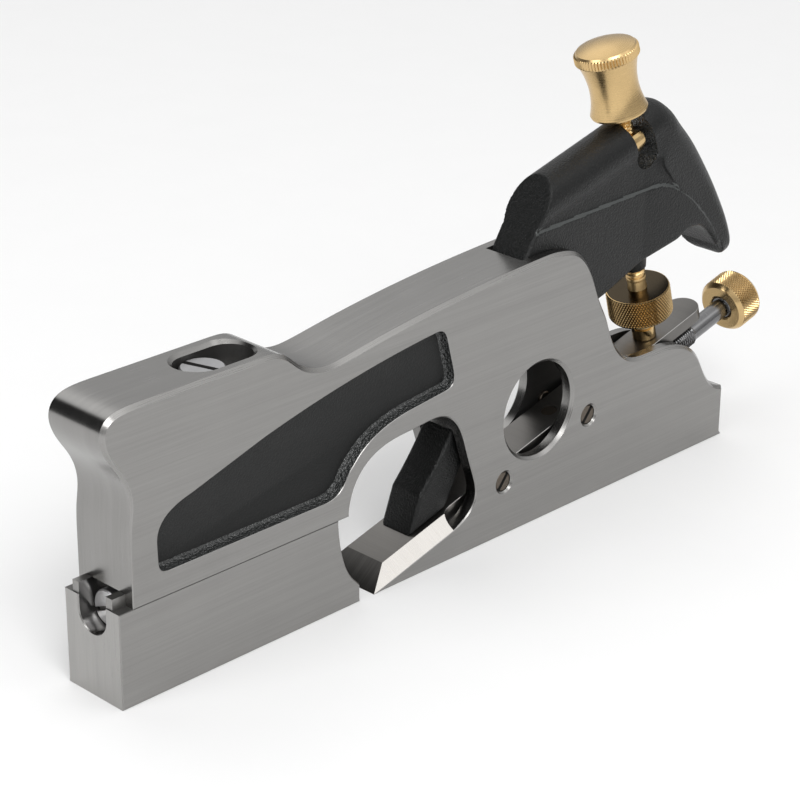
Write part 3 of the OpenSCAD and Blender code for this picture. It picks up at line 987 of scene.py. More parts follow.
def thread_tree() -> FormTree:
    """A screw thread about z that starts at 0 and fades at both ends.

    Returns:
        The tree, with the inputs Radius, Length, Pitch, Depth and Material.
    """
    tree = FormTree("screw_thread")
    for name in ("Radius", "Length", "Pitch", "Depth"):
        tree.add_socket(name)
    tree.add_socket("Material", "NodeSocketMaterial")
    length, pitch = tree.read("Length"), tree.read("Pitch")
    links = {
        "Vertices": 48,
        "Side Segments": length / pitch * 8.0,
        "Radius": tree.read("Radius") - tree.read("Depth"),
        "Depth": length,
    }
    bar = tree.node("GeometryNodeMeshCylinder", {"fill_type": "NGON"}, links)
    x, y, z = tree.parts(tree.node("GeometryNodeInputPosition"))
    angle = y.math("ARCTAN2", x)
    height = z + length * 0.5
    crest = (height / pitch - angle / (2 * math.pi)).ridge()
    fade = (height / pitch).clamped() * ((length - height) / pitch).clamped()
    push = crest * fade * tree.read("Depth")
    offset = tree.vector(angle.math("COSINE") * push, angle.math("SINE") * push, length * 0.5)
    moved = tree.node("GeometryNodeSetPosition", links={"Geometry": bar, "Offset": offset})
    tree.close(moved)
    return tree


# The pieces


@dataclass(frozen=True)
class BodyCasting:
    """The ground iron body with its black side recesses."""

    chamfer: float = 0.9
    throat_chamfer: float = 0.3
    front_chamfer: float = 0.25
    front_rise: Point = (36.0, 60.0)
    fine_chamfer: float = 0.15
    recess_d: float = 2.5
    recess_edge: float = 0.12
    groove_w: float = 9.0
    head_seat_r: float = 5.4
    head_seat_d: float = 5.1
    shank_slot_r: float = 3.25
    slot_travel: Point = (30.35, 38.8)
    lug_x: Point = (17.0, 25.0)
    lug_w: float = 8.6
    finger: tuple[float, float, float] = (128.0, 28.85, 11.85)
    finger_flare: float = 0.8
    cove_x: float = 3.8
    valley_z: float = 31.35
    throat_x: float = 100.0

    def profile(self) -> list[Point]:
        """The side outline: cove, nose, bun, back, heel, sole, bed and throat."""
        bun, heel, low, valley = LAYOUT.bun_h, LAYOUT.heel_h, LAYOUT.toe_h, self.valley_z
        end, bed = LAYOUT.sole_len, LAYOUT.bed_z(self.throat_x)
        front = [(self.cove_x, low)]
        front += bend((self.cove_x, bun - 26.2), (self.cove_x + 2.6, bun - 18.6), (-0.3, bun - 11.2))
        front += bend((-2.4, bun - 7), (-3.6, bun - 2.2), (0.2, bun - 0.6))
        front += [(4.3, bun)] + bend((43.4, bun), (46.6, bun), (48.8, bun - 2.4))
        front += bend((49.9, bun - 3.6), (53.4, bun - 7.4), (60.2, bun - 7.4))
        back = bend((66, bun - 6.6), (95, bun - 1.6), (132.5, bun - 0.2))
        back += bend((137.9, bun - 1), (144.4, bun - 2), (148.6, bun - 15.4))
        back += bend((152.6, bun - 22.5), (156, valley), (166, valley))
        back += bend((end - 24, valley), (end - 13, valley - 1.6), (end - 10, valley - 8))
        back += bend((end - 8, heel + 6), (end - 5, heel + 0.4), (end, heel))
        back += [(end, 0), (LAYOUT.edge_x, 0)]
        throat = bend((self.throat_x, bed), (self.throat_x + 7, bed + 3), (106.8, 14.5))
        throat += bend((105.6, 18.6), (103.6, 24), (103, 26))
        throat += bend((102.2, 28.8), (99.6, 37.7), (92.3, 37.7))
        throat += bend((86, 37), (66, 37.4), (LAYOUT.toe_len - 3.4, low))
        return fair(front + back + throat)

    def edge_width(self, x: float, z: float) -> float:
        """Width of the outline's chamfer at a point."""
        if z < 0.05 or (x < 66.5 and abs(z - LAYOUT.toe_h) < 0.3):
            return self.fine_chamfer if x > LAYOUT.edge_x + 1 or z > 1 else 0.01
        if x < self.throat_x and z < LAYOUT.bed_z(x) + 0.2:
            return min(self.fine_chamfer, 0.01 + (x - LAYOUT.edge_x) * 0.02)
        if x < 12:
            low, high = self.front_rise
            climb = min(1.0, max(0.0, (z - low) / (high - low)))
            return self.front_chamfer + (self.chamfer - self.front_chamfer) * climb
        in_throat = 64 < x < 108 and z < 38
        return self.throat_chamfer if in_throat else self.chamfer

    def recess_outline(self) -> list[Point]:
        """The outline of the black recess in a side."""
        line = arc((12.9, 29.9), 2, 270, 180, 4) + bend((10.7, 36), (11.4, 41.4), (20, 43.2))
        line += bend((40, 49.2), (66, 56), (92, 58.4)) + bend((92.8, 58.5), (95.6, 58.6), (96.1, 55.6))
        line += bend((98.3, 47.4), (99.1, 44.2), (96.4, 43.5)) + bend((86, 42.4), (73, 41.2), (67.3, 35.1))
        line += bend((65.2, 32.9), (63, 28), (58.4, 27.9))
        return fair(line, step=0.5, rounds=4, corner=80.0)

    def recess(self, side: Side, finishes: Finishes) -> Solid:
        """The cutter for one recess, with a bright rim, a drafted wall painted lighter as a highlight and a
        rounded floor edge.
        """
        face = LAYOUT.body_w / 2
        steps = [(-0.6, -self.recess_edge - 0.6), (0.0, -self.recess_edge), (self.recess_edge, 0.0)]
        steps += [(1.75, 0.22), (2.1, 0.36), (2.35, 0.6), (self.recess_d, 0.95)]
        line = self.recess_outline()
        rings = []
        for depth, inward in steps:
            y = side.value * (face - depth)
            rings.append([Vector((x, y, z)) for x, z in inset(line, lambda _x, _z, by=inward: by)])
        floor = face - self.recess_d + 0.05

        def pick(middle: Vector, _normal: Vector) -> int:
            """Floor, bright rim, or the wall with its painted highlight."""
            if abs(middle.y) < floor:
                return 0
            return 1 if abs(middle.y) > face - self.recess_edge else 2

        cutter = Solid.loft("recess_cut", rings)
        return cutter.dress(finishes.recess, finishes.chamfer, finishes.recess_wall, pick=pick)

    def seat_for_lock_screw(self, finishes: Finishes) -> list[Solid]:
        """The cutters for the lock screw's long recess in the bun and its slot."""
        low, high = self.slot_travel
        top, floor = LAYOUT.bun_h, LAYOUT.bun_h - self.head_seat_d

        def ring(radius: float, z: float) -> Ring:
            """A long ring round both ends of the travel."""
            turns = [math.pi * (i / 20 - 0.5) for i in range(21)]
            far = [Vector((high + radius * math.cos(t), radius * math.sin(t), z)) for t in turns]
            near = [Vector((low - radius * math.cos(t), -radius * math.sin(t), z)) for t in turns]
            return far + near

        r, flare = self.head_seat_r, 0.9
        seat = Solid.loft(
            "head_seat",
            [ring(r, floor), ring(r, top - flare), ring(r + flare, top), ring(r + flare + 1, top + 1)],
        )
        rim = top - flare
        # the seat's lower wall and the shank slot take the half-toned iron: painted shade
        seat.dress(finishes.profile, finishes.inner, pick=lambda middle, _: 0 if middle.z > rim else 1)
        shank = Solid.loft("shank_slot", [ring(self.shank_slot_r, z) for z in (LAYOUT.toe_h - 1, floor + 1)])
        return [seat, shank.dress(finishes.inner)]

    def channel(self, finishes: Finishes) -> Solid:
        """The cutter between the walls."""
        x = self.throat_x
        line = [(x, LAYOUT.bed_z(x)), LAYOUT.on_bed(LAYOUT.blade_len + 20), (LAYOUT.sole_len + 20, 87.2)]
        line += [(136, 87.2), (124, LAYOUT.bun_h - 0.4), (101, 30.5), (92, 22.5)]
        half = LAYOUT.channel_w / 2
        # the walls between take the half-toned iron: painted shade
        return Solid.prism("channel_cut", line, -half, half).dress(finishes.inner)

    def fulcrum(self, finishes: Finishes) -> Solid:
        """The rib that the lever cap hooks under."""
        half = LAYOUT.channel_w / 2 + 0.1
        x, z = LAYOUT.rib
        r = LAYOUT.rib_r
        place = Matrix.Translation((x, -half, z)) @ Matrix.Rotation(-math.pi / 2, 4, "X")
        rod = Solid.turned("fulcrum_rod", [(r, 0), (r, 2 * half)], place)
        block = Solid.box("fulcrum_block", (0, -half, 0.1 - r), (5, half, r - 0.1))
        turn = Matrix.Rotation(math.radians(-90 - LAYOUT.cap_slope), 4, "Y")
        block.moved(Matrix.Translation((x, 0, z)) @ turn)
        # the rib takes the half-toned iron: painted shade
        return rod.join(block).dress(finishes.inner)

    def small_cuts(self, finishes: Finishes) -> list[Solid]:
        """The cutters for the tongue, the adjuster, the finger hole and the set screws."""
        half, face = LAYOUT.tongue_w / 2 + 0.05, LAYOUT.body_w / 2
        low = LAYOUT.toe_h
        dark = [Solid.box("tongue_groove", (-1, -half, low - 1), (62.2, half, low + 2.7))]
        wide, length = self.groove_w / 2, LAYOUT.blade_len
        floor = Solid.box("adjuster_groove", (0, -wide, 0), (length, wide, 10.55))
        dark.append(floor.moved(LAYOUT.bed_frame(LAYOUT.pin_s - 12, -9.55)))
        under = LAYOUT.bed_frame(LAYOUT.pivot_s, -11.95)
        dark.append(Solid.turned("pivot_bore", [(5.45, 0), (5.45, 12.95)], under))
        # the tongue groove, the adjuster's groove and the pivot bore take the half-toned iron: painted shade
        for cutter in dark:
            cutter.dress(finishes.inner)
        x, z, r = self.finger
        rim = face - self.finger_flare

        def pick(middle: Vector, _normal: Vector) -> int:
            """The finger hole's wall or its chamfer."""
            return 1 if abs(middle.y) > rim else 0

        wall = (LAYOUT.body_w - LAYOUT.channel_w) / 2
        holes = []
        for side in Side:
            place = across(x, z, side.value * face, side)
            hole = bore("finger_cut", place, r, face + 0.5, flare=self.finger_flare)
            holes.append(hole.dress(finishes.profile, finishes.chamfer, pick=pick))
            for at in LAYOUT.set_x:
                seat = across(at, LAYOUT.bed_z(at) + LAYOUT.set_rise, side.value * face, side)
                holes.append(bore("set_thread_cut", seat, 2.5, wall - 0.25, 0.5).dress(finishes.profile))
                # the set screws' narrow holes take the half-toned iron: painted shade
                holes.append(bore("set_point_cut", seat, 1.95, wall + 1).dress(finishes.inner))
        return dark + holes

    def screw_lug(self, finishes: Finishes) -> Solid:
        """The lug that takes the toe adjusting screw."""
        low, high = self.lug_x
        half = self.lug_w / 2
        lug = Solid.box("screw_lug", (low, -half, 13.6), (high, half, LAYOUT.toe_h + 4.65))
        place = Matrix.Translation((low - 1, 0, LAYOUT.screw_z)) @ Matrix.Rotation(math.pi / 2, 4, "Y")
        # the lug takes the half-toned iron: painted shade
        return lug.cut(bore("lug_bore", place, 2.45, high - low + 2)).dress(finishes.inner)

    def build(self, finishes: Finishes) -> None:
        """Builds the body and lets it ride."""

        def pick(middle: Vector, normal: Vector) -> int:
            """Side face, chamfer or edge face, and the shadowed joint above the toe."""
            if abs(normal.y) > SIDE_FACING:
                return 0
            if middle.x < LAYOUT.toe_len and abs(middle.z - LAYOUT.toe_h) < 0.25:
                return 3
            return 1 if abs(normal.y) > CHAMFER_FACING else 2

        casting = Solid.plate("body_casting", self.profile(), LAYOUT.body_w, self.edge_width)
        casting.dress(finishes.side, finishes.chamfer, finishes.profile, finishes.inner, pick=pick)
        casting.cut(self.channel(finishes)).join(self.fulcrum(finishes))
        casting.cut(*(self.recess(side, finishes) for side in Side))
        casting.cut(*self.seat_for_lock_screw(finishes))
        casting.cut(*self.small_cuts(finishes))
        casting.join(self.screw_lug(finishes))
        fit_piece(casting, "body", Slot.IRON, "body")


@dataclass(frozen=True)
class Toe:
    """The sliding toe in front of the mouth."""

    tongue_end: float = 57.2
    head_slot_r: float = 4.4
    neck_x: Point = (6.4, 8.4)
    neck_r: float = 2.75
    pocket_x: Point = (12.5, 27.0)
    pocket_w: float = 9.2
    lock_bore_r: float = 2.9

    def profile(self) -> list[Point]:
        """The side outline: flat sole, square front and the slope that ends at the mouth."""
        high, end = LAYOUT.toe_h, LAYOUT.toe_len
        line = [(0, 0), (0, high), (end - 6.6, high)]
        line += bend((end - 6.3, 18.2), (end - 5, 8.4), (end - 1.3, 5.4))
        return fair(line + [(end, 4.2), (end, 0)])

    def edge_width(self, _x: float, z: float) -> float:
        """Width of the outline's chamfer at a point."""
        if z < 0.1 or z > LAYOUT.toe_h - 0.3:
            return 0.15
        return 0.25

    def trough(self, name: str, low: float, high: float, r: float, flare: float = 0.0) -> Solid:
        """A cutter for an open-topped slot along x, flared at its front where flare is more than 0."""
        top = LAYOUT.toe_h + 4

        def ring(x: float, radius: float) -> Ring:
            """A half circle below the screw's axis with straight sides above it."""
            turns = [math.pi * (1 + i / 24) for i in range(25)]
            z = LAYOUT.screw_z
            under = [Vector((x, radius * math.cos(t), z + radius * math.sin(t))) for t in turns]
            return [Vector((x, -radius, top)), *under, Vector((x, radius, top))]

        if not flare:
            return Solid.loft(name, [ring(low, r), ring(high, r)])
        return Solid.loft(name, [ring(low, r + flare - low), ring(flare, r), ring(high, r)])

    def build(self, finishes: Finishes) -> None:
        """Builds the toe and lets it ride."""

        def pick(middle: Vector, normal: Vector) -> int:
            """Side face, chamfer or edge face, the shadowed joint under the body, and the front, painted
            lighter where it catches the light.
            """
            if abs(normal.y) > SIDE_FACING:
                return 0
            if middle.z > LAYOUT.toe_h - 0.25:
                return 3
            # the toe's front face takes the lighter iron: painted light
            if normal.x < -0.9:
                return 4
            return 1 if abs(normal.y) > CHAMFER_FACING else 2

        toe = Solid.plate("toe_block", self.profile(), LAYOUT.body_w, self.edge_width)
        faces = (finishes.side, finishes.chamfer, finishes.profile, finishes.inner, finishes.front)
        toe.dress(*faces, pick=pick)
        half, high = LAYOUT.tongue_w / 2, LAYOUT.toe_h
        tongue = Solid.box("tongue", (0.3, -half, high - 1), (self.tongue_end, half, high + 2.65))
        toe.join(tongue.dress(finishes.side))
        low, end = self.pocket_x
        head = self.trough("head_slot", -1.0, self.neck_x[0], self.head_slot_r, 0.25)
        cuts = [head.dress(finishes.profile)]
        cuts.append(self.trough("neck_slot", self.neck_x[0] - 1, self.neck_x[1] + 1, self.neck_r))
        cuts.append(self.trough("collar_slot", self.neck_x[1], low + 1, self.head_slot_r))
        half = self.pocket_w / 2
        cuts.append(Solid.box("lug_pocket", (low, -half, 13.3), (end, half, high + 4)))
        lock = Matrix.Translation((LAYOUT.lock_x, 0, 6.0))
        cuts.append(Solid.turned("lock_bore", [(self.lock_bore_r, 0), (self.lock_bore_r, 25)], lock))
        # the toe's slots, pocket and bore, all but the head slot, take the half-toned iron: painted shade
        toe.cut(*(cutter.dress(finishes.inner) for cutter in cuts))
        fit_piece(toe, "toe", Slot.IRON, "toe")


@dataclass(frozen=True)
class Blade:
    """The bevel-up blade: a wide end, a narrow shank and a round tail."""

    wide_len: float = 27.0
    shank_w: float = 9.5
    bevel: float = 25.0
    pin_r: float = 2.05
    edge: float = 0.12

    def plan(self) -> list[Point]:
        """The plan outline in the bed's frame."""
        half, narrow, start = LAYOUT.body_w / 2, self.shank_w / 2, self.wide_len
        line = bend((start, -half), (start - 0.5, -narrow), (start + 4.5, -narrow))
        line += arc((LAYOUT.blade_len - narrow - 0.6, 0), narrow, -90, 90, 36)
        line += bend((start + 4.5, narrow), (start - 0.5, narrow), (start, half))
        return [(0, -half), *line, (0, half)]

    def build(self, finishes: Finishes) -> None:
        """Builds the blade and lets it ride."""
        plan = self.plan()

        def cut_edge(x: float, _y: float) -> float:
            """Chamfer that fades out at the cutting end."""
            return self.edge if x > 1 else 0.01

        slim = inset(plan, cut_edge)
        c, t = self.edge, LAYOUT.blade_t
        rings = [[Vector((x, y, 0)) for x, y in slim], [Vector((x, y, c)) for x, y in plan]]
        rings += [[Vector((x, y, t - c)) for x, y in plan], [Vector((x, y, t)) for x, y in slim]]
        blade = Solid.loft("blade_iron", rings)
        # each face of the blade takes its own painted tone: painted reflection
        blade.dress(finishes.blade_top, finishes.chamfer, pick=lambda _, n: 1 if 0.3 < n.z < 0.9 else 0)
        bevel = Solid.box("bevel_cut", (-9, -20, 0), (21, 20, 9)).dress(finishes.blade_bevel)
        blade.cut(bevel.moved(Matrix.Rotation(math.radians(-self.bevel), 4, "Y")))
        for side in Side:
            low = -9.0 if side is Side.NEAR else 0.0
            relief = Solid.box("relief_cut", (-1, low, 0), (self.wide_len + 2.4, low + 9, 9))
            turn = Matrix.Rotation(math.radians(45 * side.value), 4, "X")
            place = Matrix.Translation((0, side.value * LAYOUT.body_w / 2, 0)) @ turn
            blade.cut(relief.dress(finishes.blade_relief).moved(place))
        pin = Matrix.Translation((LAYOUT.pin_s, 0, -1))
        # the pin hole takes the half-toned iron: painted shade
        blade.cut(bore("pin_cut", pin, self.pin_r, 6).dress(finishes.inner))
        blade.moved(LAYOUT.bed_frame(0, LAYOUT.seat))
        fit_piece(blade, "blade", Slot.BLADE, "blade")


@dataclass(frozen=True)
class LeverCap:
    """The black painted lever cap: a web, a round barrel on top and a horn behind."""

    web_w: float = 9.6
    cheek_w: float = 11.3
    flank_w: float = 10.1
    cheek_edge: float = 0.5
    # band is the width of the painted highlight along the cheek's ledge
    band: float = 0.75
    cheek_z: Point = (46.0, 72.0)
    flare: tuple[float, float, float] = (168.0, 32.0, 0.27)
    gap: float = 27.0
    front: Point = (102.7, 30.3)
    rise: float = 42.2
    barrel_span: Point = (126.0, 171.5)
    web_top_x: float = 135.0
    voxel: float = 0.33
    slot_w: float = 6.6
    slot_floor: float = 4.0
    slot_shift: float = 0.65
    slot_turn: float = 5.0
    screw_r: float = 2.5
    boss_drop: float = 3.4
    # sections [x, z, slope, outer height, inner height, half width, hollow] down to the lip
    horn: tuple[tuple[float, ...], ...] = (
        (168, 85.67, 15, 5.9, 5.9, 5.9, 0.0),
        (173.0, 87.5, -4, 6.5, 6.7, 6.1, 0.0),
        (176.6, 86.3, -26, 5.7, 7.0, 6.3, 0.0),
        (179.4, 82.9, -42, 5.8, 7.2, 6.4, 0.1),
        (184.8, 76.6, -47, 6.1, 7.0, 6.4, 0.3),
        (192, 67.4, -56, 5.4, 4.6, 6.5, 0.5),
        (197.6, 58.4, -63, 4.8, 3.2, 6.9, 0.9),
        (200.6, 52.6, -68, 3.6, 2.4, 7.0, 0.7),
        (201.7, 49.9, -74, 2.4, 1.8, 5.8, 0.2),
        (202.2, 48.4, -78, 1.2, 1.0, 3.4, 0.0),
    )

    def profile(self) -> list[Point]:
        """The web's side outline, from the nose on the blade round the back to the underside."""
        nose = LAYOUT.on_bed(17.0, LAYOUT.blade_t + 2 * LAYOUT.seat)
        x, z = self.front
        shoulder = (x + self.rise / math.tan(math.radians(LAYOUT.cap_slope)), z + self.rise)
        line = bend((nose[0] + 3.5, nose[1] + 9.4), (nose[0] + 9, nose[1] + 15), self.front)
        line += [shoulder, LAYOUT.on_barrel(self.web_top_x), LAYOUT.on_barrel(self.barrel_span[1])]
        line += bend((176, 87), (185, 81), (192, 66)) + bend((193.5, 62.5), (193, 60.4), (188.8, 59.4))
        line += [LAYOUT.on_bed(124, self.gap), LAYOUT.on_bed(106.6, self.gap + 1.4)]
        line += [LAYOUT.on_bed(91.5, self.gap)]
        line += bend(LAYOUT.on_bed(56, self.gap), LAYOUT.on_bed(42, self.gap), (112, 31))
        return fair([nose, *line, LAYOUT.on_bed(29.5, LAYOUT.blade_t + 0.3)], corner=20.0)

    def on_front(self, height: float) -> Point:
        """The point of the cap's sloping front at a height."""
        x, z = self.front
        return x + (height - z) / math.tan(math.radians(LAYOUT.cap_slope)), height

    def cheek_outline(self) -> list[Point]:
        """The outline of the proud cheek: its front, its ledge, the curve into the lip and the scoop."""
        low, high = self.cheek_z
        line = [self.on_front(low), self.on_front(high), *self.ledge()]
        scoop = (187.4, 59.6)
        line += bend((196.4, 52.4), (191, 59.8), scoop) + bend(scoop, (183.8, 60.2), (181.5, 57.8))
        line += [LAYOUT.on_bed(106.6, self.gap + 1.4), LAYOUT.on_bed(91.5, self.gap), (140, low)]
        return fair(line, step=0.6, rounds=4, corner=40.0)

    def ledge(self) -> list[Point]:
        """The curve of the cheek's ledge from above the boss down to the lip."""
        turn = (185.6, 67.3)
        return bend((171.6, 73.6), (177, 74.2), turn) + bend(turn, (194, 59.5), (197.2, 53.4))

    def flank_outline(self) -> list[Point]:
        """The outline of the flank between the barrel, the horn and the ledge."""
        low = self.cheek_z[1] - 2
        line = [self.on_front(low), LAYOUT.on_barrel(self.web_top_x), LAYOUT.on_barrel(self.barrel_span[1])]
        line += bend((176.6, 86.3), (181, 81), (184.8, 76.6)) + bend((188, 72), (190, 67), (192, 62))
        return fair([*line, (176, low)], corner=20.0)

    def spread_plate(self, name: str, outline: Sequence[Point], width: float, edge: float) -> Solid:
        """A finely remeshed plate of the cap that spreads towards the lip."""
        plate = Solid.plate(name, outline, width, lambda _x, _z: edge)
        plate.with_modifier("REMESH", mode="VOXEL", voxel_size=self.voxel, adaptivity=0.0)
        start, reach, spread = self.flare
        for vertex in plate.item.data.vertices:
            along = min(1.0, max(0.0, (vertex.co.x - start) / reach))
            vertex.co.y *= 1 + spread * (1 - (1 - along) ** 2)
        return plate

    def sections(self) -> list[tuple[float, ...]]:
        """The horn's sections, filled in along a smooth curve."""
        rows = [self.horn[0], *self.horn, self.horn[-1]]
        filled = []
        for a, b, c, d in zip(rows, rows[1:], rows[2:], rows[3:]):
            for i in range(5):
                t = i / 5
                weights = (
                    -0.5 * t + t * t - 0.5 * t**3,
                    1 - 2.5 * t * t + 1.5 * t**3,
                    0.5 * t + 2 * t * t - 1.5 * t**3,
                    0.5 * t**3 - 0.5 * t * t,
                )
                filled.append(tuple(sum(w * v for w, v in zip(weights, row)) for row in zip(a, b, c, d)))
        return [*filled, self.horn[-1]]

    def horn_solid(self) -> Solid:
        """The horn: round outside, hollow inside, with a rim at each side."""
        rings = []
        for x, z, slope, outer, inner, wide, hollow in self.sections():
            lean = Vector((-math.sin(math.radians(slope)), 0, math.cos(math.radians(slope))))
            middle = Vector((x, 0, z))
            ring = []
            for i in range(33):
                turn = math.pi * i / 32
                ring.append(middle + Vector((0, wide * math.cos(turn), 0)) + lean * (outer * math.sin(turn)))
            for i in range(17):
                t = 2 * i / 16 - 1
                depth = inner - hollow * (1 - t * t)
                ring.append(middle + Vector((0, wide * t, 0)) - lean * depth)
            rings.append([Vector((p.x, p.y, p.z)) for p in ring])
        return Solid.loft("horn", rings)

    def cast(self) -> Solid:
        """The casting before it is drilled: a web with its boss, the cheeks, the barrel and the horn."""
        web = Solid.plate("cap_casting", self.profile(), self.web_w, lambda _x, _z: 0.6)
        under = LAYOUT.bed_frame(LAYOUT.clamp_s, self.gap - self.boss_drop)
        boss = Solid.turned("boss", [(2.9, 0), (3.4, self.boss_drop), (3.4, self.boss_drop + 4)], under)
        low, high = self.barrel_span
        x, z = LAYOUT.on_barrel(low)
        length = (high - low) / math.cos(math.radians(LAYOUT.bed_angle))
        place = Matrix.Translation((x, 0, z)) @ Matrix.Rotation(math.radians(90 - LAYOUT.bed_angle), 4, "Y")
        barrel = Solid.turned("barrel", [(LAYOUT.barrel_r, 0), (LAYOUT.barrel_r, length)], place, sides=96)
        turn = Matrix.Rotation(math.radians(90 - LAYOUT.cap_slope), 4, "Y")
        front = Matrix.Translation((self.front[0], 0, self.front[1])) @ turn
        barrel.cut(Solid.box("front_cut", (-20, -12, 30), (0, 12, 80)).moved(front))
        cheek = self.spread_plate("cap_cheek", self.cheek_outline(), self.cheek_w, self.cheek_edge)
        flank = self.spread_plate("cap_flank", self.flank_outline(), self.flank_w, self.cheek_edge)
        web.gather(boss, cheek, flank, barrel, self.horn_solid())
        web.with_modifier("REMESH", mode="VOXEL", voxel_size=self.voxel, adaptivity=0.0)
        return web.with_modifier("SMOOTH", factor=0.5, iterations=2)

    def build(self, finishes: Finishes) -> None:
        """Builds the cap and lets it ride."""
        start = self.on_front(self.cheek_z[1])
        line = spaced([Vector(p) for p in (start, *self.ledge())], 0.25)
        ledge = KDTree(len(line))
        for i, p in enumerate(line):
            ledge.insert((p.x, 0, p.y), i)
        ledge.balance()

        def pick(middle: Vector, normal: Vector) -> int:
            """Paint, or the painted highlight along the edge of the ledge."""
            if middle.x < start[0] or abs(middle.y) < self.flank_w / 2 or abs(normal.y) > SIDE_FACING:
                return 0
            _, _, distance = ledge.find((middle.x, 0, middle.z))
            return 1 if distance < self.band else 0

        # faces near the ledge take the lighter paint: a painted highlight where the ledge catches the light
        cap = self.cast().dress(finishes.paint, finishes.paint_edge, pick=pick)
        x, z = LAYOUT.rib
        width = self.web_w + 2
        rib = Matrix.Translation((x, -width / 2, z)) @ Matrix.Rotation(-math.pi / 2, 4, "X")
        seat = Solid.turned("rib_seat", [(LAYOUT.rib_r + 0.1, 0), (LAYOUT.rib_r + 0.1, width)], rib)
        hole_r = self.screw_r + 0.05
        under = LAYOUT.bed_frame(LAYOUT.clamp_s, self.gap - self.boss_drop - 1)
        hole = Solid.turned("screw_hole", [(hole_r, 0), (hole_r, 21)], under)
        half, middle = self.slot_w / 2, self.slot_shift
        line = [(middle + half, 10), (middle - half, 10)]
        line += arc((middle, -self.slot_floor), half, 180, 360, 20)
        turn = Matrix.Rotation(math.radians(-self.slot_turn), 4, "Y")
        slot = Solid.prism("stud_slot", line, -9, 9).moved(LAYOUT.knob_frame() @ turn)
        pin = LAYOUT.knob_frame() @ Matrix.Translation((-6.2, 0, 0)) @ Matrix.Rotation(math.pi / 2, 4, "Y")
        pin_hole = Solid.turned("pin_hole", [(1.52, 0), (1.52, 12.4)], pin)
        # the stud slot's walls take the lighter paint: a painted highlight on walls that lie in shade
        cap.cut(slot.dress(finishes.recess_wall))
        cap.cut(*(cutter.dress(finishes.recess) for cutter in (seat, hole, pin_hole)))
        fit_piece(cap, "lever_cap", Slot.PAINT, "lever_cap")


def knurled_band(
    tree: FormTree,
    name: str,
    place: Matrix,
    radius: float,
    span: Point,
    knurl: tuple[int, float, float],
    finish: bpy.types.Material,
) -> Solid:
    """A band of diamond knurl.

    Args:
        tree: the diamond knurl's tree.
        name: the band's name.
        place: frame whose z is the band's axis.
        radius: radius over the points.
        span: where it starts and ends along z.
        knurl: points in a row, step from row to row and depth of the grooves.
        finish: its material.

    Returns:
        The band.
    """
    low, high = span
    around, step, depth = knurl
    root = radius - depth
    rows = max(1, round((high - low) / step) - 1)
    band = Solid.turned(name, [(root, low), (root, high)], sides=96)
    tree.apply(
        band,
        Radius=root - 0.02,
        Bottom=low,
        Row_Step=(high - low) / (rows + 1),
        Around=around,
        Rows=rows,
        Depth=depth,
        Material=finish,
    )
    return band.moved(place)


def groove_shade_span(radius: float, depth: float) -> Point:
    """The radii between which a knurl's painted groove shade fades, from its grooves to near its points."""
    return radius - depth - 0.08, radius - 0.2


def threaded(
    tree: FormTree,
    name: str,
    place: Matrix,
    radius: float,
    length: float,
    pitch: float,
    finish: bpy.types.Material,
) -> Solid:
    """A threaded bar that starts at the place's origin, in its z direction.

    Args:
        tree: the thread's tree.
        name: the bar's name.
        place: frame of its start.
        radius: radius over the crests.
        length: its length.
        pitch: its pitch.
        finish: its material.

    Returns:
        The bar.
    """
    bar = Solid(name, bpy.data.meshes.new(name))
    tree.apply(bar, Radius=radius, Length=length, Pitch=pitch, Depth=pitch * 0.5, Material=finish)
    return bar.moved(place)


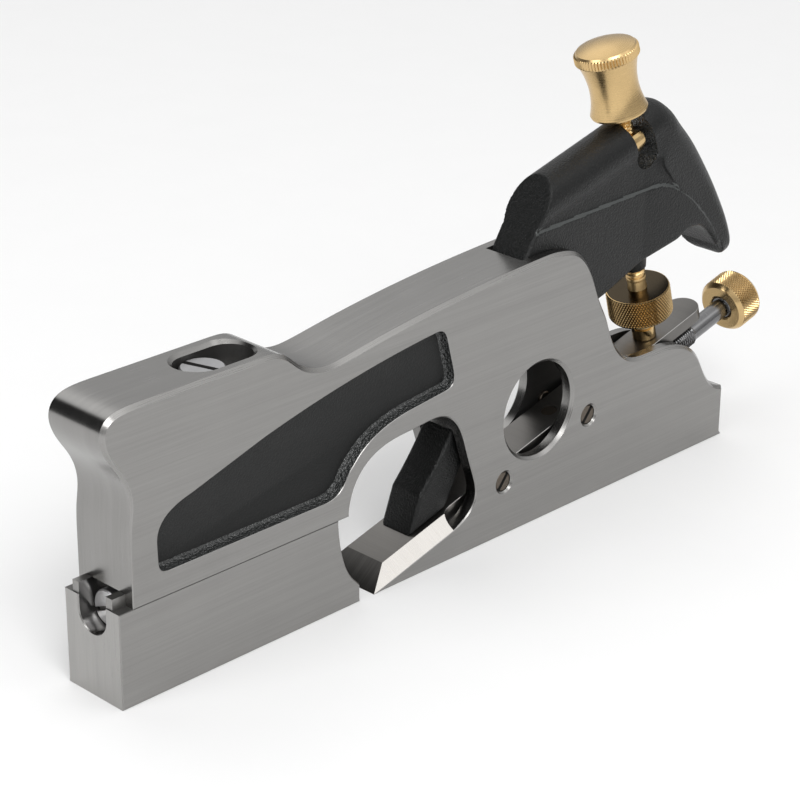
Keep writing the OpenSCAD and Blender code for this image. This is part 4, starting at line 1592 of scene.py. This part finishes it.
@dataclass(frozen=True)
class ClampScrew:
    """The brass wheel under the lever cap, its screw and its foot."""

    wheel_r: float = 8.2
    wheel_h: float = 7.9
    base: float = 6.8
    foot_h: float = 3.4
    foot_r: float = 3.0
    dish_d: float = 2.9
    knurl: tuple[int, float, float] = (66, 0.62, 0.5)
    thread: Point = (2.5, 0.9)

    def build(self, diamonds: FormTree, threads: FormTree) -> None:
        """Builds the wheel and the foot and lets them ride."""
        t, r, h = LAYOUT.blade_t, self.wheel_r, self.wheel_h
        place = LAYOUT.bed_frame(LAYOUT.clamp_s, t + self.base)
        # the wheel's brass is 1.35 times the tone of the other brass: painted light
        satin = TurnedMetal("brass_wheel", shade(BRASS_TONE, 1.35), place, 0.38).material()
        # radii where the knurl's painted groove shade fades
        grooves = groove_shade_span(r, self.knurl[2])
        bright = TurnedMetal(
            "brass_wheel_knurl", BRASS_TONE, place, 0.22, depth=0.0, grooves=grooves
        ).material()
        below = self.base - self.foot_h - 0.05
        profile = [(1.6, -below - 2.2), (1.6, -below)]
        profile += [(self.foot_r - 0.3, -below), (self.foot_r, 0.3 - below)]
        profile += [(self.foot_r, 0.05), (r - 0.9, 0.0), (r - 0.6, 0.3), (r - 0.6, h - 0.35)]
        floor = h - self.dish_d
        profile += [(r - 0.35, h - 0.05), (r - 0.6, h), (3.9, floor), (3.4, floor + 0.05)]
        profile += bend((3.0, floor + 0.5), (2.35, h), (2.2, h + 2.3), 10)
        profile += [(2.45, h + 2.5), (2.5, h + 2.9), (2.45, h + 3.4), (2.1, h + 3.6), (1.9, h + 19.0)]
        wheel = Solid.turned("clamp_wheel_brass", profile, place, sides=128).dress(satin)
        fit_piece(wheel, "clamp_wheel", Slot.BRASS, "clamp_wheel")
        band = knurled_band(diamonds, "clamp_wheel_knurl", place, r, (0.2, h), self.knurl, bright)
        fit_piece(band, "clamp_wheel", Slot.BRASS, flat=True)
        radius, pitch = self.thread
        start = LAYOUT.bed_frame(LAYOUT.clamp_s, t + self.base + h + 3.6)
        bar = threaded(threads, "clamp_wheel_thread", start, radius, 12.0, pitch, satin)
        fit_piece(bar, "clamp_wheel", Slot.BRASS)
        high = self.foot_h - 2 * LAYOUT.seat
        sole = LAYOUT.bed_frame(LAYOUT.clamp_s, t + 2 * LAYOUT.seat)
        rim = self.foot_r
        profile = [(rim - 0.25, 0), (rim, 0.25), (rim, high - 0.3), (rim - 0.3, high)]
        profile += [(1.66, high), (1.66, 1.0), (0, 1.0)]
        foot = Solid.turned("clamp_foot_brass", profile, sole)
        foot.dress(TurnedMetal("brass_foot", BRASS_TONE, sole, 0.2).material())
        fit_piece(foot, "clamp_foot", Slot.BRASS, "clamp_foot")


@dataclass(frozen=True)
class PalmKnob:
    """The brass knob on top and the stud that it turns on."""

    radius: float = 7.9
    height: float = 16.7
    rim_h: float = 2.4
    waist_pull: float = 4.7
    base_r: float = 7.05
    stud_r: float = 2.5
    stud_len: float = 10.0
    eye: tuple[float, float, float] = (4.4, 4.2, 1.6)
    teeth: int = 60
    tooth_depth: float = 0.34
    pitch: float = 0.9

    def build(self, flutes: FormTree, threads: FormTree) -> None:
        """Builds the knob and its stud and lets them ride."""
        place = LAYOUT.knob_frame(LAYOUT.palm_lean)
        base = LAYOUT.barrel_r + 1.2
        top, r, hole = base + self.height, self.radius, self.stud_r + 0.05
        satin = TurnedMetal("brass_palm", BRASS_TONE, place, 0.27).material()
        edge = TurnedMetal("brass_palm_rim", BRASS_TONE, place, 0.3, depth=1e-6).material()
        rim = top - self.rim_h
        profile = [(0, base + self.stud_len + 0.6), (hole, base + self.stud_len + 0.6), (hole, base + 0.4)]
        profile += [(hole + 0.4, base), (self.base_r - 0.55, base), (self.base_r - 0.15, base + 0.2)]
        waist = (self.waist_pull, base + self.height * 0.44)
        profile += bend((self.base_r, base + 0.7), waist, (r - 0.5, rim), 30)
        profile += [(r - 0.45, rim + 0.1), (r - 0.45, top - 0.1)]
        profile += arc((0, top + 1.8 - 19), 19, 68, 90, 16)
        knob = Solid.turned("palm_knob_brass", profile, place, sides=144).dress(satin)
        fit_piece(knob, "palm_knob", Slot.BRASS, "palm_knob")
        ring = [(r - 0.9, rim), (r - 0.25, rim), (r, rim + 0.25)]
        ring += [(r, rim + (self.rim_h - 0.6) * i / 6 + 0.25) for i in range(1, 7)] + [(r - 0.45, top - 0.02)]
        band = Solid.turned("palm_knob_rim", [*ring, (r - 1.2, top)], sides=8 * self.teeth)
        flutes.apply(
            band, Low=rim - 0.1, High=top + 0.05, Around=self.teeth, Depth=self.tooth_depth, Material=edge
        )
        fit_piece(band.moved(place), "palm_knob", Slot.BRASS)
        self.build_stud(place, base, threads)

    def build_stud(self, place: Matrix, base: float, threads: FormTree) -> None:
        """Builds the stud: a thread above and a flat-sided eye with a rounded end below."""
        r, width, top = self.eye
        half = width / 2
        bright = TurnedMetal("brass_stud", shade(BRASS_TONE, 1.08), place, 0.2).material()
        outline = [*arc((0, 0), r, 180, 360, 24), (r - 0.3, top - 0.6), (r - 1.0, top)]
        outline += [(1.0 - r, top), (0.3 - r, top - 0.6)]
        eye = Solid.prism("stud_eye", outline, -half, half).moved(Matrix.Rotation(math.pi / 2, 4, "Z"))
        cross = Matrix.Translation((-half - 1, 0, 0)) @ Matrix.Rotation(math.pi / 2, 4, "Y")
        eye.cut(Solid.turned("stud_hole", [(1.55, 0), (1.55, width + 2)], cross))
        fit_piece(eye.moved(place).dress(bright), "palm_stud", Slot.BRASS, "palm_stud")
        start = place @ Matrix.Translation((0, 0, top - 0.8))
        length = base + self.stud_len - top + 0.8
        bar = threaded(threads, "palm_stud_thread", start, self.stud_r, length, self.pitch, bright)
        fit_piece(bar, "palm_stud", Slot.BRASS)


@dataclass(frozen=True)
class Adjuster:
    """The blade adjuster's screw rod and its knob behind the body."""

    rod_r: float = 2.45
    thread_r: float = 2.95
    pitch: float = 0.75
    knob_r: float = 7.2
    knob_len: float = 8.6
    chamfer: float = 1.1
    knurl: tuple[int, float, float] = (60, 0.56, 0.45)

    def build(self, diamonds: FormTree, threads: FormTree) -> None:
        """Builds the rod and the knob and lets them ride."""
        front = LAYOUT.blade_len + 10.1
        place = LAYOUT.rod_frame(front)
        # the rod's steel is darkened to 0.48 of the tone: painted shade and reflection
        steel = TurnedMetal("steel_rod", shade(STEEL_TONE, 0.48), place, 0.22).material()
        slim, r = self.rod_r - 0.6, self.rod_r
        start, clip, end = LAYOUT.pin_s - 6.2, LAYOUT.pin_s - 5.2, front + 6.7
        steps = [(slim - 0.2, start), (slim, start + 0.2), (slim, clip), (r - 1, clip), (r - 1, clip + 0.8)]
        steps += [(slim, clip + 0.8), (slim, LAYOUT.pin_s + 4.5), (r, LAYOUT.pin_s + 4.5), (r, front + 0.2)]
        steps += [(r + 0.35, front + 0.25), (r + 0.5, front + 0.45), (r + 0.5, front + 1.2)]
        steps += [(r + 0.75, front + 1.3), (r + 0.75, end - 0.3), (r + 0.45, end)]
        profile = [(radius, s - front) for radius, s in steps]
        rod = Solid.turned("adjuster_rod_steel", profile, place, sides=96)
        fit_piece(rod.dress(steel), "feed_screw", Slot.STEEL, "adjuster_rod")
        low, high = LAYOUT.pivot_s - 7, LAYOUT.pivot_s + 29.4
        start, length = LAYOUT.rod_frame(low), high - low
        bar = threaded(threads, "adjuster_rod_thread", start, self.thread_r, length, self.pitch, steel)
        fit_piece(bar, "feed_screw", Slot.STEEL)
        self.build_knob(place, diamonds)

    def build_knob(self, place: Matrix, diamonds: FormTree) -> None:
        """Builds the knurled knob."""
        satin = TurnedMetal("brass_feed", BRASS_TONE, place, 0.25).material()
        r, length, c = self.knob_r, self.knob_len, self.chamfer
        # radii where the knurl's painted groove shade fades
        grooves = groove_shade_span(r, self.knurl[2])
        rough = TurnedMetal(
            "brass_feed_knurl", BRASS_TONE, place, 0.22, depth=0.0, grooves=grooves
        ).material()
        hole = self.rod_r + 0.8
        profile = [(0, 6.7), (hole, 6.7), (hole, 0.3), (hole + 0.3, 0), (r - c - 0.15, 0), (r - c, 0.12)]
        profile += [(r - 0.3, c), (r - 0.4, c + 0.1), (r - 0.4, length - c), (r - 0.3, length - c + 0.1)]
        profile += [(r - c, length - 0.12), (r - c - 0.15, length)]
        profile += [(3.4, length), (3.0, length - 0.5), (0, length - 0.5)]
        knob = Solid.turned("adjuster_knob_brass", profile, place, sides=128).dress(satin)
        fit_piece(knob, "feed_screw", Slot.BRASS, "adjuster_knob")
        span = (c - 0.1, length - c + 0.2)
        band = knurled_band(diamonds, "adjuster_knob_knurl", place, r, span, self.knurl, rough)
        fit_piece(band, "feed_screw", Slot.BRASS, flat=True)


@dataclass(frozen=True)
class Screws:
    """The slotted steel screws of the toe and the sides."""

    slot_d: float = 1.1
    lock_slot_w: float = 1.4
    lock_r: float = 4.95
    lock_head_h: float = 3.4
    lock_shank_r: float = 2.85
    lock_top: float = 65.5
    lock_turn: float = 107.0
    adjust_turn: float = 113.0
    adjust_r: float = 4.1
    adjust_x: Point = (3.8, 6.38)
    adjust_shank_r: float = 2.4
    collar_x: Point = (8.42, 10.4)
    shank_end_x: float = 27.0
    set_r: float = 2.45
    set_tip_r: float = 1.9

    def slot(self, radius: float, place: Matrix, turn: float, width: float = 1.0) -> Solid:
        """The cutter for a screwdriver slot in a face at the place's origin, open towards its z."""
        half = width / 2
        reach = radius + 1
        cutter = Solid.box("driver_slot", (-reach, -half, -self.slot_d), (reach, half, 1))
        return cutter.moved(place @ Matrix.Rotation(math.radians(turn), 4, "Z"))

    def build(self, finishes: Finishes) -> None:
        """Builds the six screws and lets them ride."""
        r, head, shank = self.lock_r, self.lock_head_h, self.lock_shank_r
        place = Matrix.Translation((LAYOUT.lock_x, 0, self.lock_top))
        profile = [(shank, 8 - self.lock_top), (shank, -head), (r - 0.2, -head)]
        profile += [(r, 0.2 - head), (r, -0.35), (r - 0.35, 0)]
        lock = Solid.turned("toe_lock_screw_steel", profile, place, sides=96)
        face = TurnedMetal("steel_lock", shade(STEEL_TONE, 1.15), place, 0.38, depth=1.5e-6).material()
        # the slot takes the half-toned iron: painted shade in the slot
        lock.dress(face).cut(self.slot(r, place, self.lock_turn, self.lock_slot_w).dress(finishes.inner))
        fit_piece(lock, "toe_lock_screw", Slot.STEEL, "toe_lock_screw")
        low, high = self.adjust_x
        place = Matrix.Translation((low, 0, LAYOUT.screw_z)) @ Matrix.Rotation(-math.pi / 2, 4, "Y")
        r, shank = self.adjust_r, self.adjust_shank_r
        near, far = self.collar_x
        profile = [(shank, low - self.shank_end_x), (shank, low - far), (r - 0.4, low - far)]
        profile += [(r - 0.4, low - near), (shank, low - near), (shank, low - high)]
        profile += [(r, low - high), (r, -0.3), (r - 0.3, 0)]
        screw = Solid.turned("toe_adjust_screw_steel", profile, place, sides=96)
        # the adjusting screw's steel is 1.5 times the tone: painted light on its face
        face = TurnedMetal("steel_adjust", shade(STEEL_TONE, 1.5), place, 0.36).material()
        # the slot takes the half-toned iron: painted shade in the slot
        screw.dress(face).cut(self.slot(r, place, self.adjust_turn).dress(finishes.inner))
        fit_piece(screw, "toe_adjust_screw", Slot.STEEL, "toe_adjust_screw")
        for x, station in zip(LAYOUT.set_x, ("front", "rear")):
            for side, word in ((Side.NEAR, "near"), (Side.FAR, "far")):
                self.build_set_screw(x, side, f"set_screw_{station}_{word}", finishes)

    def build_set_screw(self, x: float, side: Side, node: str, finishes: Finishes) -> None:
        """Builds one side set screw."""
        head = LAYOUT.body_w / 2 - 0.5
        inward = across(x, LAYOUT.bed_z(x) + LAYOUT.set_rise, side.value * head, side)
        place = inward @ Matrix.Rotation(math.pi, 4, "X")
        thread = head - LAYOUT.channel_w / 2 - 0.6
        tip = head - 5.1
        profile = [(self.set_tip_r - 0.2, -tip), (self.set_tip_r, 0.2 - tip), (self.set_tip_r, -thread)]
        profile += [(self.set_r, -thread), (self.set_r, -0.25), (self.set_r - 0.25, 0)]
        screw = Solid.turned(f"{node}_steel", profile, place)
        # the set screw takes the darkened steel and its slot the half-toned iron: painted shade and
        # reflection
        screw.dress(finishes.dark_steel).cut(self.slot(self.set_r, place, 50).dress(finishes.inner))
        fit_piece(screw, node, Slot.STEEL, node)


def dress_hidden(nodes: dict[str, bpy.types.Object], finishes: Finishes) -> None:
    """Gives the parts inside the plane, which keep their solids, the darkened steel of the set screws:
    painted shade.
    """
    for name in ("adjuster_pivot", "adjuster_traveller", "traveller_clip", "stud_pivot_pin"):
        item = nodes[name]
        item.data.materials.clear()
        item.data.materials.append(finishes.dark_steel)


# The room


@dataclass(frozen=True)
class Zone:
    """A round zone of the sky: where it is, how far it reaches in degrees, and its brightness."""

    azimuth: float
    height: float
    inner: float
    outer: float
    tone: float


@dataclass(frozen=True)
class Studio:
    """A pale floor, soft light and the camera."""

    eye: tuple[float, float, float] = (-0.369667, -0.354403, 0.259832)
    ahead: tuple[float, float, float] = (0.65311, 0.64363, -0.39898)
    down: tuple[float, float, float] = (-0.27872, -0.28557, -0.91693)
    lens: float = 109.2
    floor_tone: float = 0.9
    floor_size: float = 3.0
    floor_drop: float = 2e-5
    sky_tones: tuple[Point, ...] = ((0.0, 0.10), (0.5, 0.42), (0.62, 0.55), (0.8, 0.9), (1.0, 1.0))
    zones: tuple[Zone, ...] = (
        Zone(azimuth=126, height=27, inner=20, outer=45, tone=0.02),
        Zone(azimuth=78, height=50, inner=12, outer=24, tone=1.35),
        Zone(azimuth=-58, height=49, inner=9, outer=14, tone=1.8),
    )

    def lay_floor(self) -> None:
        """Lays the floor just under the sole."""
        shape = bmesh.new()
        bmesh.ops.create_grid(shape, x_segments=1, y_segments=1, size=self.floor_size)
        mesh = bpy.data.meshes.new("floor")
        shape.to_mesh(mesh)
        shape.free()
        mesh.transform(Matrix.Translation((0, 0, -self.floor_drop)))
        floor = bpy.data.objects.new("floor", mesh)
        bpy.context.scene.collection.objects.link(floor)
        paint = Paint("floor")
        grain = paint.noise(paint.where(), (40.0, 40.0, 40.0))
        tone = (self.floor_tone,) * 3
        mesh.materials.append(
            paint.finish(paint.tint(shade(tone, 0.98), tone, grain), 0.7, grain, 1e-5, metallic=0.0)
        )

    @staticmethod
    def zone(parts: tuple[Value, Value, Value], at: Zone) -> Value:
        """A soft-edged round zone of the sky, 1 inside and 0 outside."""
        turn, rise = math.radians(at.azimuth), math.radians(at.height)
        aim = (math.cos(rise) * math.cos(turn), math.cos(rise) * math.sin(turn), math.sin(rise))
        x, y, z = parts
        near = x * aim[0] + y * aim[1] + z * aim[2]
        inner, outer = math.cos(math.radians(at.inner)), math.cos(math.radians(at.outer))
        return ((near - outer) / (inner - outer)).clamped()

    def light_sky(self) -> None:
        """Lights the world: white to the camera, and soft bright and dark zones in the metal."""
        world = bpy.data.worlds.new("studio")
        world.use_nodes = True
        bpy.context.scene.world = world
        sky = Graph(world.node_tree)
        sky.tree.nodes.clear()
        direction = sky.node("ShaderNodeTexCoord", output="Generated")
        parts = sky.parts(direction)
        up = sky.node(
            "ShaderNodeValToRGB",
            {"stops": [(height, (tone,) * 3) for height, tone in self.sky_tones]},
            {"Fac": parts[2] * 0.5 + 0.5},
        )
        for at in self.zones:
            up = sky.mix(self.zone(parts, at), up, (at.tone, at.tone, at.tone, 1.0))
        path = sky.node("ShaderNodeLightPath", output="Is Camera Ray")
        tone = sky.mix(path, up, WHITE)
        glow = sky.node("ShaderNodeBackground", links={"Color": tone, "Strength": 1.0})
        sky.node("ShaderNodeOutputWorld", links={"Surface": glow})

    def hang_lamp(self, name: str, at: Sequence[float], size: float, watts: float) -> None:
        """Hangs a square soft lamp that faces the plane."""
        data = bpy.data.lights.new(name, "AREA")
        data.size = size
        data.energy = watts
        lamp = bpy.data.objects.new(name, data)
        lamp.location = at
        aim = Vector((0, 0, 0.03)) - Vector(at)
        lamp.rotation_euler = aim.to_track_quat("-Z", "Y").to_euler()
        bpy.context.scene.collection.objects.link(lamp)

    def set_camera(self) -> None:
        """Sets the camera up as it stood."""
        data = bpy.data.cameras.new("camera")
        data.lens = self.lens
        data.sensor_width = 36.0
        data.clip_start = 0.01
        camera = bpy.data.objects.new("camera", data)
        back = -Vector(self.ahead).normalized()
        up = -Vector(self.down)
        up = (up - back * up.dot(back)).normalized()
        right = up.cross(back)
        camera.matrix_world = Matrix.Translation(self.eye) @ Matrix((right, up, back)).transposed().to_4x4()
        bpy.context.scene.collection.objects.link(camera)
        bpy.context.scene.camera = camera

    def build(self) -> None:
        """Builds the room."""
        bpy.context.scene.view_settings.view_transform = "Standard"
        self.set_camera()
        self.lay_floor()
        self.light_sky()
        self.hang_lamp("key", (-0.5, -0.9, 1.1), 0.7, 9.0)
        self.hang_lamp("side", (-1.2, 0.2, 0.6), 0.6, 4.0)


def main() -> None:
    """Builds the studio and the plane."""
    logging.basicConfig(level=logging.INFO, format="%(message)s")
    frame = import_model()
    Studio().build()
    finishes = Finishes()
    diamonds, flutes, threads = diamond_tree(), flute_tree(), thread_tree()
    BodyCasting().build(finishes)
    Toe().build(finishes)
    Blade().build(finishes)
    LeverCap().build(finishes)
    ClampScrew().build(diamonds, threads)
    PalmKnob().build(flutes, threads)
    Adjuster().build(diamonds, threads)
    Screws().build(finishes)
    dress_hidden(frame["nodes"], finishes)


if __name__ == "__main__":
    main()
